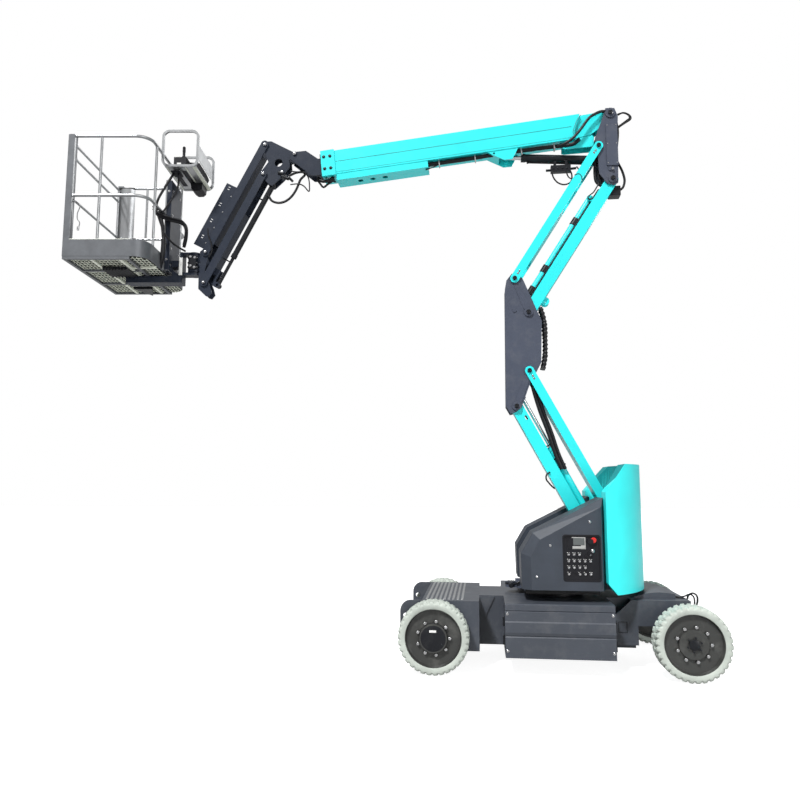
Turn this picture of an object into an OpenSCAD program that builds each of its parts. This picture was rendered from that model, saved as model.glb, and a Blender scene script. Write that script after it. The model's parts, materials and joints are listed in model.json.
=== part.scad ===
// Articulating boom lift on four solid-tyred wheels: slewing turntable, two-stage
// parallelogram riser, telescoping main boom, parallelogram jib and a rotating platform.
// Units are millimetres, +Z is up. X runs along the chassis towards the steered wheels,
// Y runs across it, and the origin lies on the ground under the slewing axis.

/* [Wheels] */

// Tyre outer radius
tyre_r = 279.5; // [240:0.5:330]
// Tyre width
tyre_w = 175; // [130:1:210]
// Radius where the tyre sits on its rim
rim_r = 221; // [180:0.5:230]
// Distance between the two axles
wheel_base = 1946; // [1800:1:2200]
// Width over the outer faces of the tyres
overall_w = 1500; // [1400:1:1800]

/* [Chassis] */

// Height of the chassis deck above the ground
deck_z = 545; // [500:1:620]
// Underside of the chassis above the ground
belly_z = 150; // [110:1:200]
// Width of the narrow centre frame
neck_w = 560; // [440:1:640]
// Width over the plates of the drive end
drive_plate_w = 1100; // [1000:1:1120]
// Width over the plates of the steered end
steer_plate_w = 800; // [700:1:820]
// Length of the battery boxes along the chassis
box_len = 834; // [700:1:860]
// Width over both battery boxes
box_span = 1400; // [1300:1:1460]

/* [Turntable] */

// Outer radius of the counterweight about the slewing axis
tail_r = 767; // [740:1:820]
// Thickness of the counterweight wall
tail_t = 165; // [120:1:200]
// Top of the counterweight above the ground
tail_top = 1630; // [1500:1:1700]
// Width over the two side cowls
cowl_w = 1200; // [1100:1:1240]

/* [Riser] */

// Base pivot of the lower arm, along the chassis
base_x = 417; // [380:1:460]
// Base pivot of the lower arm, above the ground
base_z = 877; // [840:1:920]
// Distance between the pins of each riser arm and link
arm_len = 1451; // [1350:1:1550]
// Lean of the lower stage from the vertical
lower_lean = 28; // [20:0.5:40]
// Lean of the upper stage from the vertical
upper_lean = 32.6; // [20:0.5:40]
// Height of an arm section, across its length
arm_h = 106; // [90:1:120]
// Width of an arm section, along its pins
arm_w = 136; // [110:1:150]
// Height of a link section, across its length
link_h = 78; // [64:1:90]

/* [Boom] */

// Slope of the main boom below the horizontal
boom_lean = 5.5; // [0:0.5:12]
// Height of the main boom section
boom_h = 235; // [200:1:260]
// Width of the main boom section
boom_w = 180; // [160:1:200]
// Distance from the boom pivot to the boom's front collar
boom_len = 2725; // [2400:1:3000]
// Wall of the boom tubes
boom_t = 6; // [4:0.5:10]

/* [Jib] */

// Distance between the pins of each jib bar
jib_len = 1204; // [1000:1:1400]
// Hang of the jib from the vertical
jib_lean = 27.9; // [20:0.5:45]
// Height of a jib bar section
jib_h = 74; // [60:1:84]

/* [Platform] */

// Turn of the platform about its rotator
plat_yaw = 6.5; // [-20:0.5:20]
// Platform size along the chassis
plat_d = 750; // [700:1:900]
// Platform size across the chassis
plat_w = 1180; // [1000:1:1500]
// Underside of the platform floor above the ground
plat_z = 3460; // [3400:1:3520]
// Height of the platform from its underside to the top rail
plat_h = 1177; // [1100:1:1250]
// Radius of the rail tubes
rail_r = 14; // [10:0.5:18]

/* [Hidden] */

$fn = 48;

// Clearances
run_fit = 0.05;
end_proud = 1;
side_gap = 5;

// Colours
cyan = [0.10, 0.84, 0.86];
slate = [0.22, 0.25, 0.31];
dark = [0.10, 0.11, 0.13];
steel = [0.62, 0.64, 0.66];
pale = [0.78, 0.80, 0.76];

// Wheel positions
drive_x = -wheel_base / 2;
steer_x = wheel_base / 2;
axle_z = tyre_r;
tyre_out = overall_w / 2;
tyre_in = tyre_out - tyre_w;
spindle_r = 35;
hub_r = 95;
kingpin_y = tyre_in - 70;
kingpin_r = 20;

// Chassis outline
box_x = box_len / 2;
neck_x = drive_x + 356;
flange_t = 43;
end_x = drive_x - tyre_r;
arch_x = steer_x - 331;
arch_z = axle_z + 65;
nose_x = steer_x + 80;
plate_t = 20;
neck_y = neck_w / 2;
drive_y = drive_plate_w / 2;
steer_y = steer_plate_w / 2;
box_y = box_span / 2;
box_in = neck_y;
box_lo = 138;
box_hi = deck_z;

// Turntable levels
ring_r = 272;
ring_h = 38;
table_z = deck_z + ring_h + side_gap;
table_t = 50;
cowl_lo = table_z + table_t;
frame_x = 578;
cowl_y = cowl_w / 2;
cowl_in = 205;
cowl_bevel = 60;

// Widths of the plates that carry the pins
pin_r = 20;
lug_in = arm_w / 2 + side_gap;
lug_t = 12;
lug_out = lug_in + lug_t;
bar_in = lug_out + side_gap;
bar_t = 14;
bar_out = bar_in + bar_t;

// Riser pins, as [x, z]
lower_dir = [-sin(lower_lean), cos(lower_lean)];
upper_dir = [sin(upper_lean), cos(upper_lean)];
link_dx = 118;
link_dz = 314;
k0 = [base_x, base_z];
k0b = k0 + [link_dx, link_dz];
k1 = k0 + arm_len * lower_dir;
k2 = k1 + [link_dx, link_dz];
k3 = k1 + [122, 849];
k4 = k3 + [-link_dx, link_dz];
h1 = k3 + arm_len * upper_dir;
h2 = h1 + [-link_dx, link_dz];
bp = h1 + [-2, 630];

// Riser cylinders, placed on the arms they lie along
cyl_off = 88;
cyl_r = 28;
rod_r = 16;
lower_nrm = [cos(lower_lean), sin(lower_lean)];
upper_nrm = [-cos(upper_lean), sin(upper_lean)];
lc_base = k1 - 1150 * lower_dir + cyl_off * lower_nrm;
lc_eye = k1 + 41 * lower_dir + cyl_off * lower_nrm;
uc_base = k3 + 1208 * upper_dir + cyl_off * upper_nrm;
uc_eye = k3 + 46 * upper_dir + cyl_off * upper_nrm;

// Main boom, in its own frame with the pivot at the origin and the boom along -x
boom_top = 33;
boom_bot = boom_top - boom_h;
boom_y = boom_w / 2;
collar_l = 133;
cover_h = 64;
fly_gap = 6;
fly_len = boom_len - 625;
fly_y = boom_y - boom_t - fly_gap;
fly_top = boom_top - boom_t - fly_gap;
fly_bot = boom_bot + boom_t + fly_gap;
tip_x = -boom_len - 254;
tip_z = 66;
boom_pin = [-974, boom_bot - 45];
boom_base = bp + [-55, -412];
boom_eye = bp + [boom_pin[0] * cos(boom_lean) - boom_pin[1] * sin(boom_lean),
                 boom_pin[0] * sin(boom_lean) + boom_pin[1] * cos(boom_lean)];
tip = bp + [tip_x * cos(boom_lean) - tip_z * sin(boom_lean),
            tip_x * sin(boom_lean) + tip_z * cos(boom_lean)];

// Jib pins
jib_dir = [-sin(jib_lean), -cos(jib_lean)];
jib_nrm = [cos(jib_lean), -sin(jib_lean)];
jib_dx = -9;
jib_dz = -301;
j1 = tip + [-307, 122];
j2 = j1 + [jib_dx, jib_dz];
j3 = j1 + jib_len * jib_dir;
j4 = j2 + jib_len * jib_dir;
jib_y = 64;
jib_wall = 9;
jlug_in = 38;
jlug_out = jib_y - jib_wall - side_gap;
jc_off = 118;
jc_base = j2 + 40 * jib_dir + jc_off * jib_nrm;
jc_eye = j2 + (jib_len - 40) * jib_dir + jc_off * jib_nrm;

// Platform
rot_x = j3[0] - 128;
plat_in = 262;
plat_out = plat_in + plat_d;
plat_y = plat_w / 2;
plat_top = plat_z + plat_h;
toe_h = 182;
mid_rail = plat_z + 598;
corner_r = 150;

// Extrudes a profile of [x, z] points from y0 to y1
module prof(pts, y0, y1) {
  translate([0, y1, 0]) rotate([90, 0, 0]) linear_extrude(y1 - y0) polygon(pts);
}

// A round bar along Y at [x, z]
module yrod(p, r, y0, y1) {
  translate([p[0], y1, p[1]]) rotate([90, 0, 0]) cylinder(r = r, h = y1 - y0);
}

// The same at both sides of the centre plane
module both() {
  children();
  mirror([0, 1, 0]) children();
}

// Places children with +x running from p to q
module along(p, q) {
  translate([p[0], 0, p[1]]) rotate([0, -atan2(q[1] - p[1], q[0] - p[0]), 0]) children();
}

// A bar between p and q with round ends that stand a little proud of it
module bar(p, q, h, y0, y1, r) {
  along(p, q) translate([0, y1, 0]) rotate([90, 0, 0]) linear_extrude(y1 - y0) {
    translate([0, -h / 2]) square([norm(q - p), h]);
    circle(r = r + end_proud);
    translate([norm(q - p), 0]) circle(r = r + end_proud);
  }
}

module at_boom() {
  translate([bp[0], 0, bp[1]]) rotate([0, -boom_lean, 0]) children();
}

module at_plat() {
  translate([rot_x, 0, 0]) rotate([0, 0, plat_yaw]) children();
}

// Flat outline with rounded corners on the right-hand side, for the platform
module plat_outline(d) {
  translate([-plat_out + d, -plat_y + d]) square([plat_d - corner_r - d, plat_w - 2 * d]);
  translate([-plat_in - corner_r - 1, -plat_y + corner_r]) square([corner_r + 1 - d, plat_w - 2 * corner_r]);
  translate([-plat_in - corner_r, -plat_y + corner_r]) circle(r = corner_r - d);
  translate([-plat_in - corner_r, plat_y - corner_r]) circle(r = corner_r - d);
}

// Chassis

module drive_plate(y0) {
  difference() {
    union() {
      prof([[end_x + 85, deck_z - 8], [neck_x, deck_z - 8], [neck_x, belly_z], [end_x + 60, belly_z],
            [end_x, belly_z + 60], [end_x, deck_z - 93]], y0, y0 + plate_t);
      yrod([end_x + 85, deck_z - 93], 85, y0, y0 + plate_t);
    }
    yrod([end_x + 46, deck_z - 130], 22, y0 - 1, y0 + plate_t + 1);
    yrod([drive_x, axle_z], hub_r + 1, y0 - 1, y0 + plate_t + 1);
  }
}

module chassis_half() {
  drive_plate(drive_y - plate_t);
  // Gusset beside the narrow neck
  prof([[neck_x - 1, deck_z - 8], [neck_x + 126, deck_z - 8], [neck_x - 1, belly_z + 120]],
       neck_y, neck_y + 12);
  difference() {
    prof([[box_x + 40, belly_z + 45], [arch_x, belly_z + 45], [arch_x, arch_z], [nose_x, arch_z],
          [nose_x, deck_z], [arch_x - 46, deck_z], [box_x + 42, deck_z - 126]], steer_y - plate_t, steer_y);
    // Access hatch pressed into the plate
    translate([box_x + 74, steer_y - 4, arch_z - 50]) cube([62, 10, 78]);
  }
}

module chassis_frame() {
  color(slate) {
    both() chassis_half();
    // Vertical flange plate and the step deck between the drive plates
    translate([neck_x - flange_t, -drive_y + 1, belly_z]) cube([flange_t, drive_plate_w - 2, deck_z - 8 - belly_z]);
    translate([end_x + 175, -drive_y + plate_t - 1, deck_z - 14])
      cube([neck_x - end_x - 176, drive_plate_w - 2 * plate_t + 2, 6]);
    prof([[end_x + 175, deck_z - 8], [end_x + 181, deck_z - 8], [end_x + 100, belly_z + 40],
          [end_x + 94, belly_z + 40]], -drive_y + plate_t - 1, drive_y - plate_t + 1);
    // Centre frame: two side webs, top and bottom plates
    difference() {
      translate([neck_x - 1, -neck_y, belly_z]) cube([arch_x - neck_x + 1, neck_w, deck_z - belly_z]);
      translate([neck_x + 30, -neck_y + 16, belly_z + 16]) cube([arch_x - neck_x - 60, neck_w - 32, deck_z - belly_z - 32]);
    }
    // Deck of the steered end with its low domed cover
    translate([arch_x - 46, -steer_y + 1, deck_z - 10]) cube([nose_x - arch_x + 46, steer_plate_w - 2, 10]);
    translate([nose_x - 12, -steer_y + 1, arch_z]) cube([12, steer_plate_w - 2, deck_z - arch_z]);
    translate([arch_x - 12, -steer_y + 1, belly_z + 45]) cube([12, steer_plate_w - 2, deck_z - belly_z - 50]);
    intersection() {
      yrod([steer_x - 130, deck_z - 480], 530, -300, 300);
      translate([arch_x - 40, -300, deck_z - 1]) cube([360, 600, 60]);
    }
  }
}

module battery_box() {
  difference() {
    prof_x([[box_in, box_lo], [box_y - 8, box_lo], [box_y - 8, 292], [box_y - 14, 300], [box_y - 8, 308],
            [box_y, 330], [box_y, 405], [box_y - 8, 415], [box_y - 8, 484], [box_y - 14, 490],
            [box_y - 8, 496], [box_y - 8, box_hi - 8], [box_y - 18, box_hi], [box_in, box_hi]],
           -box_x, box_x);
    translate([-box_x + 5, box_in + 5, box_lo + 5]) cube([box_len - 10, box_y - box_in - 28, box_hi - box_lo - 10]);
  }
}

// Extrudes a profile of [y, z] points from x0 to x1
module prof_x(pts, x0, x1) {
  translate([x0, 0, 0]) rotate([90, 0, 90]) linear_extrude(x1 - x0) polygon(pts);
}

module battery_boxes() {
  color(slate) both() battery_box();
}

module battery_packs() {
  color(dark) both() translate([-box_x + 5, box_in + 5, box_lo + 5])
    cube([box_len - 10, box_y - box_in - 28, 290]);
}

module slew_ring() {
  color(dark) difference() {
    translate([0, 0, deck_z]) cylinder(r = ring_r, h = ring_h, $fn = 96);
    translate([0, 0, deck_z - 1]) cylinder(r = ring_r - 60, h = ring_h + 2, $fn = 96);
  }
}

module drive_axle() {
  color(dark) {
    translate([drive_x - 70, -drive_y + plate_t, axle_z - 70]) cube([140, drive_plate_w - 2 * plate_t, 140]);
    both() {
      yrod([drive_x, axle_z], hub_r, drive_y - plate_t - 60, drive_y + 16);
      yrod([drive_x, axle_z], spindle_r - run_fit, drive_y + 10, tyre_out - 62);
    }
  }
}

module steer_axle() {
  color(dark) {
    translate([steer_x - 55, -kingpin_y + 45, axle_z - 45]) cube([110, 2 * kingpin_y - 90, 90]);
    both() {
      for (z = [axle_z - 85, axle_z + 61]) {
        translate([steer_x - 40, kingpin_y - 80, z]) cube([80, 80, 24]);
        translate([steer_x, kingpin_y, z]) cylinder(r = 40, h = 24);
      }
      translate([steer_x - 40, kingpin_y - 80, axle_z - 85]) cube([80, 36, 170]);
      translate([steer_x, kingpin_y, axle_z - 90]) cylinder(r = kingpin_r, h = 180);
    }
  }
}

module steer_knuckle(s) {
  color(dark) scale_y(s) {
    difference() {
      union() {
        translate([steer_x, kingpin_y, axle_z - 56]) cylinder(r = 36, h = 112);
        translate([steer_x - 32, kingpin_y, axle_z - 50]) cube([64, 60, 100]);
        yrod([steer_x, axle_z], 60, kingpin_y + 48, kingpin_y + 62);
      }
      translate([steer_x, kingpin_y, axle_z - 100]) cylinder(r = kingpin_r + run_fit, h = 200);
    }
    yrod([steer_x, axle_z], spindle_r - run_fit, kingpin_y + 62, tyre_out - 62);
  }
}

module scale_y(s) {
  if (s > 0) children();
  if (s < 0) mirror([0, 1, 0]) children();
}

module tyre(x, s) {
  color(pale) translate([x, s > 0 ? tyre_in : -tyre_in, axle_z]) rotate([s > 0 ? -90 : 90, 0, 0])
    rotate_extrude($fn = 72) polygon([[rim_r, 4], [tyre_r - 14, 0], [tyre_r, 12], [tyre_r, tyre_w - 12],
                            [tyre_r - 14, tyre_w], [rim_r + 6, tyre_w], [rim_r, tyre_w - 8]]);
}

module rim(x, s, hub_out) {
  color(slate) translate([x, s > 0 ? tyre_in : -tyre_in, axle_z]) rotate([s > 0 ? -90 : 90, 0, 0]) {
    rotate_extrude($fn = 72) polygon([[spindle_r, tyre_w - 100], [72, tyre_w - 100], [72, tyre_w - 52],
        [rim_r - 12, tyre_w - 52], [rim_r - 12, 12], [rim_r, 12], [rim_r, tyre_w - 8], [rim_r - 4, tyre_w - 8],
        [rim_r - 12, tyre_w - 36], [112, tyre_w - 40], [108, hub_out], [14, hub_out], [14, tyre_w - 50],
        [spindle_r, tyre_w - 50]]);
    translate([0, 0, tyre_w - 50]) cylinder(r = spindle_r, h = 30);
    for (a = [0 : 40 : 320]) rotate([0, 0, a]) translate([127, 0, tyre_w - 42]) cylinder(r = 11, h = 16, $fn = 6);
  }
}

// Turntable

module tower_plate() {
  difference() {
    prof([[base_x - 250, table_z + 10], [frame_x, table_z + 10], [frame_x, k0b[1] + 46],
          [k0b[0] - 50, k0b[1] + 46], [base_x - 82, base_z + 40],
          [base_x - 200, 700]], lug_in, lug_out);
    yrod(k0, pin_r - 1, lug_in - 1, lug_out + 1);
  }
}

module turntable_frame() {
  color(slate) {
    translate([0, 0, table_z]) cylinder(r = ring_r + 18, h = table_t, $fn = 96);
    translate([-300, -150, table_z + 2]) cube([frame_x + 300, 300, table_t - 4]);
    translate([-250, -cowl_y + 90, table_z + table_t - 24]) cube([590, cowl_w - 180, 24]);
    translate([0, 0, deck_z + side_gap]) cylinder(r = ring_r - 70, h = ring_h + 4);
    both() tower_plate();
    both() yrod(k0, pin_r + 14, lug_out - 1, lug_out + 6);
    yrod(k0, pin_r, -lug_out - 6, lug_out + 6);
    yrod(k0b, pin_r, -bar_out - 8, bar_out + 8);
    // Web between the tower plates, behind the riser
    translate([frame_x - 20, -lug_in - 1, table_z + 10]) cube([12, 2 * lug_in + 2, 420]);
    // Slew drive at the front of the table
    translate([-345, -60, table_z + 2]) cylinder(r = 48, h = table_t - 4);
    translate([-350, -60 - 30, table_z + 2]) cube([60, 60, table_t - 4]);
  }
}

module cowl_side() {
  difference() {
    hull() {
      prof([[-274, cowl_lo], [-280, 919], [-183, 1079], [373, 1360], [373, cowl_lo]],
           cowl_in, cowl_y - cowl_bevel);
      prof([[-200, cowl_lo], [-206, 894], [-129, 1030], [352, 1290], [352, cowl_lo]],
           cowl_y - 4, cowl_y);
    }
    hull() {
      prof([[-266, cowl_lo - 1], [-272, 916], [-178, 1070], [365, 1345], [365, cowl_lo - 1]],
           cowl_in + 6, cowl_y - cowl_bevel - 6);
      prof([[-192, cowl_lo - 1], [-198, 890], [-124, 1022], [344, 1276], [344, cowl_lo - 1]],
           cowl_y - 32, cowl_y - 26);
    }
  }
}

module side_cowls() {
  color(slate) {
    difference() {
      both() cowl_side();
      // Recess for the control panel in the near cowl
      translate([48, -cowl_y - 1, 716]) cube([288, 20, 350]);
    }
  }
}

module control_panel() {
  color(dark) {
    translate([50, -cowl_y + 7, 718]) cube([284, 12, 346]);
    translate([84, -cowl_y + 3, 960]) cube([104, 5, 86]);
    // Stop button, key switch and rows of toggles
    translate([262, -cowl_y + 8, 1020]) rotate([90, 0, 0]) cylinder(r = 21, h = 24);
    translate([258, -cowl_y + 8, 925]) rotate([90, 0, 0]) cylinder(r = 17, h = 12);
    for (i = [0 : 3]) for (j = [0 : 2])
      translate([92 + 44 * i, -cowl_y + 8, 905 - 62 * j]) rotate([90, 0, 0]) cylinder(r = 6, h = 14);
  }
}

module counterweight() {
  color(cyan) {
    intersection() {
      translate([0, 0, cowl_lo - 40]) difference() {
        cylinder(r = tail_r, h = tail_top - cowl_lo + 40, $fn = 128);
        translate([0, 0, -1]) cylinder(r = tail_r - tail_t, h = tail_top, $fn = 128);
      }
      prof([[380, 700], [455, 612], [tail_r + 20, 612], [tail_r + 20, tail_top],
            [560, tail_top], [380, 1405]], -tail_r, tail_r);
    }
  }
  // Foot that bolts to the frame's rear edge
  color(cyan) translate([frame_x, -150, table_z + 4]) cube([tail_r - tail_t + 46 - frame_x, 300, 110]);
}

// Riser

module arm_tube(p, q) {
  difference() {
    bar(p, q, arm_h, -arm_w / 2, arm_w / 2, arm_h / 2);
    along(p, q) translate([110, -arm_w / 2 + 6, -arm_h / 2 + 6]) cube([arm_len - 220, arm_w - 12, arm_h - 12]);
    yrod(p, pin_r + run_fit, -arm_w, arm_w);
    yrod(q, pin_r + run_fit, -arm_w, arm_w);
  }
}

// Ears that hold the base of a cylinder lying along an arm
module cyl_ears(p, nrm) {
  both() bar(p, p - (cyl_off - arm_h / 2 + 6) * nrm, 50, cyl_r + 4, cyl_r + 16, 25);
  yrod(p, 13, -cyl_r - 16, cyl_r + 16);
}

module lower_arm() {
  color(cyan) {
    difference() {
      arm_tube(k1, k0);
      // Oval hole near the upper pin
      along(k1, k0) hull() for (x = [118, 140]) translate([x, arm_w, 24]) rotate([90, 0, 0])
        cylinder(r = 10, h = 2 * arm_w);
    }
    cyl_ears(lc_base, lower_nrm);
  }
}

module upper_arm() {
  color(cyan) {
    arm_tube(k3, h1);
    cyl_ears(uc_base, upper_nrm);
    // Lug on the underside near the lower pin
    difference() {
      both() bar(k3 + 175 * upper_dir - 72 * upper_nrm, k3 + 175 * upper_dir - 40 * upper_nrm, 70, 30, 42, 35);
      yrod(k3 + 175 * upper_dir - 72 * upper_nrm, 13, -60, 60);
    }
  }
}

// Link of two side bars outside the plates, with a web on its arm side up to web_end
// and cross ties at 230 and at tie_x
module link_pair(p, q, side, web_end, tie_x) {
  difference() {
    union() {
      both() bar(p, q, link_h, bar_in, bar_out, link_h / 2);
      along(p, q) translate([230, -bar_in - 1, side > 0 ? link_h / 2 - 8 : -link_h / 2])
        cube([web_end - 230, 2 * bar_in + 2, 8]);
      for (x = [230, tie_x]) along(p, q) translate([x, -bar_in - 1, -link_h / 2])
        cube([8, 2 * bar_in + 2, link_h]);
    }
    yrod(p, pin_r + run_fit, -bar_out - 1, bar_out + 1);
    yrod(q, pin_r + run_fit, -bar_out - 1, bar_out + 1);
  }
}

module lower_link() {
  color(cyan) link_pair(k0b, k2, 1, arm_len - 230, arm_len - 238);
}

module upper_link() {
  // Its web and ties stop short of the boom's cylinder, which lies between the bars when the riser folds
  color(cyan) link_pair(k4, h2, -1, arm_len - 660, 332);
}

module mid_plate() {
  prof([k1 + [-57, -66], k1 + [-6, -54], k1 + [44, -10], k1 + [101, 148], k1 + [132, 227],
        k1 + [177, 301], k1 + [223, 386], k1 + [237, 769], k1 + [200, 852], k1 + [121, 1050],
        k1 + [78, 1155], k1 + [44, 1202], k1 + [-20, 1212], k1 + [-71, 1149], k1 + [-86, 1067],
        k1 + [-95, 2]], lug_in, lug_out);
}

module mid_link() {
  color(slate) {
    both() mid_plate();
    // Front web and the two cross webs
    prof([k1 + [-93, 4], k1 + [-79, 4], k1 + [-72, 1060], k1 + [-86, 1060]], -lug_in - 1, lug_in + 1);
    prof([k1 + [-60, 420], k1 + [150, 420], k1 + [150, 434], k1 + [-60, 434]], -lug_in - 1, lug_in + 1);
    // Raised straps between the pins of each stage
    both() {
      bar(k1 + [20, 50], k2 - [20, 50], 56, lug_out - 1, lug_out + 4, 28);
      bar(k3 + [-20, 50], k4 - [-20, 50], 56, lug_out - 1, lug_out + 4, 28);
      yrod(k1, 40, lug_out - 1, lug_out + 12);
      yrod(k3, 40, lug_out - 1, lug_out + 12);
    }
    yrod(k1, pin_r, -lug_out - 18, lug_out + 18);
    yrod(k3, pin_r, -lug_out - 18, lug_out + 18);
    yrod(k2, pin_r, -bar_out - 8, bar_out + 8);
    yrod(k4, pin_r, -bar_out - 8, bar_out + 8);
    yrod(k1 + [-4, 870], 18, -lug_out - 6, lug_out + 6);
    // Ears for the rod ends
    both() {
      yrod(lc_eye, 22, rod_r + 8, lug_in + 1);
      yrod(uc_eye, 22, rod_r + 8, lug_in + 1);
    }
  }
}

module head_plate() {
  prof([h1 + [-43, 680], h1 + [-63, 612], h1 + [-145, 398], h1 + [-123, 179], h1 + [-118, 54],
        h1 + [-50, -45], h1 + [11, -63], h1 + [47, -41], h1 + [52, 111], h1 + [56, 448],
        h1 + [66, 593], h1 + [37, 676]], lug_in, lug_out);
}

module tower_head() {
  color(slate) {
    both() {
      head_plate();
      // Raised cover over the side plate
      translate([h1[0] - 48, lug_out - 1, h1[1] + 122]) cube([102, 12, 396]);
      yrod(h1, 42, lug_out - 1, lug_out + 10);
      yrod(bp, 46, lug_out - 1, lug_out + 10);
    }
    yrod(h1, pin_r, -lug_out - 16, lug_out + 16);
    both() yrod(h2, pin_r, lug_in, bar_out + 8);
    yrod(bp, pin_r + 4, -lug_out - 16, lug_out + 16);
    yrod(h1 + [-19, 92], 20, -lug_out - 8, lug_out + 8);
    // Rear web
    prof([h1 + [40, 120], h1 + [52, 120], h1 + [56, 440], h1 + [44, 440]], -lug_in - 1, lug_in + 1);
    both() yrod(boom_base, 34, rod_r + 22, lug_in + 1);
    yrod(boom_base, 16, -lug_in, lug_in);
  }
}

// Barrel along +x from its base pin
module cyl_body(len, r, pin) {
  difference() {
    union() {
      rotate([0, 90, 0]) cylinder(r = r, h = len);
      translate([0, -r, 0]) rotate([-90, 0, 0]) cylinder(r = r - 4, h = 2 * r);
      translate([len - 40, 0, 0]) rotate([0, 90, 0]) cylinder(r = r + 3, h = 40);
    }
    translate([r + 18, 0, 0]) rotate([0, 90, 0]) cylinder(r = rod_r + 2, h = len);
    translate([0, -r - 1, 0]) rotate([-90, 0, 0]) cylinder(r = pin + run_fit, h = 2 * r + 2);
  }
}

module lower_cylinder() {
  color(cyan) along(lc_base, lc_eye) cyl_body(700, cyl_r, 13);
}

// Rod that ends in an eye at the far pin
module cyl_rod(from, to, r, eye) {
  translate([from, 0, 0]) rotate([0, 90, 0]) cylinder(r = r, h = to - from - 10);
  translate([to, -r, 0]) rotate([-90, 0, 0]) cylinder(r = eye, h = 2 * r);
}

module lower_rod() {
  color(steel) along(lc_base, lc_eye) cyl_rod(200, norm(lc_eye - lc_base), rod_r, 22);
}

module upper_cylinder() {
  color(cyan) along(uc_base, uc_eye) cyl_body(1000, cyl_r, 13);
}

module upper_rod() {
  color(steel) along(uc_base, uc_eye) cyl_rod(300, norm(uc_eye - uc_base), rod_r, 22);
}

// Boom

module main_boom() {
  color(cyan) {
    at_boom() {
      difference() {
        translate([-boom_len + 20, -boom_y, boom_bot]) cube([boom_len - 20 - 270, boom_w, boom_h]);
        translate([-boom_len, -boom_y + boom_t, boom_bot + boom_t])
          cube([boom_len + 1, boom_w - 2 * boom_t, boom_h - 2 * boom_t]);
        // Slanted rear end
        prof([[-345, boom_bot - 1], [-268, boom_bot - 1], [-268, boom_top + 1], [-272, boom_top + 1],
              [-345, boom_bot + 70]], -boom_y - 1, boom_y + 1);
        // Slot that clears the lift cylinder with the boom up
        translate([-475, -46, boom_bot - 1]) cube([220, 92, boom_t + 2]);
      }
      // Collar with its wear-pad bolts
      difference() {
        translate([-boom_len, -boom_y - 10, boom_bot - 10]) cube([collar_l, boom_w + 20, boom_h + 20]);
        translate([-boom_len - 1, -boom_y + boom_t, boom_bot + boom_t])
          cube([collar_l + 2, boom_w - 2 * boom_t, boom_h - 2 * boom_t]);
      }
      both() for (x = [30, 90]) for (z = [boom_bot + 60, boom_top - 55])
        translate([-boom_len + x, boom_y + 8, z]) rotate([-90, 0, 0]) cylinder(r = 9, h = 8, $fn = 6);
      // Rear fork plates down to the pivot
      both() difference() {
        prof([[-420, boom_bot + 8], [-200, boom_bot + 30], [40, -40], [50, 0], [30, boom_top + 6],
              [-420, boom_top - 8]], 50, 62);
        yrod([0, 0], pin_r + 4 + run_fit, 49, 63);
      }
      both() difference() {
        yrod([0, 0], 48, 61, lug_in - 3);
        yrod([0, 0], pin_r + 4 + run_fit, 60, lug_in);
      }
      translate([-440, -62, boom_top - 14]) cube([360, 124, 8]);
      translate([-400, -62, boom_bot + 40]) cube([190, 124, 8]);
      both() translate([-430, 55, boom_bot + 5]) cube([90, boom_y - 55 - 1, boom_h - 10]);
      // Underside cover with three oval holes
      difference() {
        translate([-boom_len + collar_l, -boom_y + 4, boom_bot - cover_h]) cube([880, boom_w - 8, cover_h + 1]);
        translate([-boom_len + collar_l - 1, -boom_y + 9, boom_bot - cover_h + 5]) cube([900, boom_w - 18, cover_h - 4.5]);
        for (x = [220, 340, 460]) translate([-boom_len + collar_l + x, 0, boom_bot - cover_h - 6]) cylinder(r = 26, h = 20);
      }
      // Bracket that takes the lift cylinder's rod
      both() difference() {
        prof([[-1160, boom_bot + 1], [-1008, boom_bot - 99], [-929, boom_bot - 103], [-862, boom_bot + 1]],
             boom_y - 18, boom_y - 6);
        yrod([-1090, boom_bot - 24], 10, boom_y - 19, boom_y - 5);
      }
      both() yrod(boom_pin, 22, boom_y - 30, boom_y - 5);
      // Front wall of the bracket
      prof([[-1158, boom_bot + 1], [-1146, boom_bot + 1], [-1048, boom_bot - 64], [-1060, boom_bot - 64]],
           -boom_y + 17, boom_y - 17);
    }
  }
}

module fly_boom() {
  color(slate) at_boom() {
    difference() {
      translate([-boom_len - 12, -fly_y, fly_bot]) cube([fly_len, 2 * fly_y, fly_top - fly_bot]);
      translate([-boom_len + 4, -fly_y + boom_t, fly_bot + boom_t])
        cube([fly_len, 2 * fly_y - 2 * boom_t, fly_top - fly_bot - 2 * boom_t]);
    }
    both() difference() {
      prof([[-boom_len + 60, fly_bot + 4], [-boom_len + 60, -20], [-boom_len - 31, -20],
            [-boom_len - 142, tip_z + 13], [tip_x + 11, tip_z + 18], [tip_x - 30, tip_z + 8],
            [tip_x - 51, tip_z - 44], [-boom_len - 110, fly_bot + 14], [-boom_len - 11, fly_bot + 4]],
           fly_y - 12, fly_y - 0.5);
      yrod([tip_x, tip_z], pin_r + run_fit, 0, 200);
    }
    translate([-boom_len - 64, -fly_y + 4, fly_bot + 14]) cube([54, 2 * fly_y - 8, 10]);
  }
}

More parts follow.
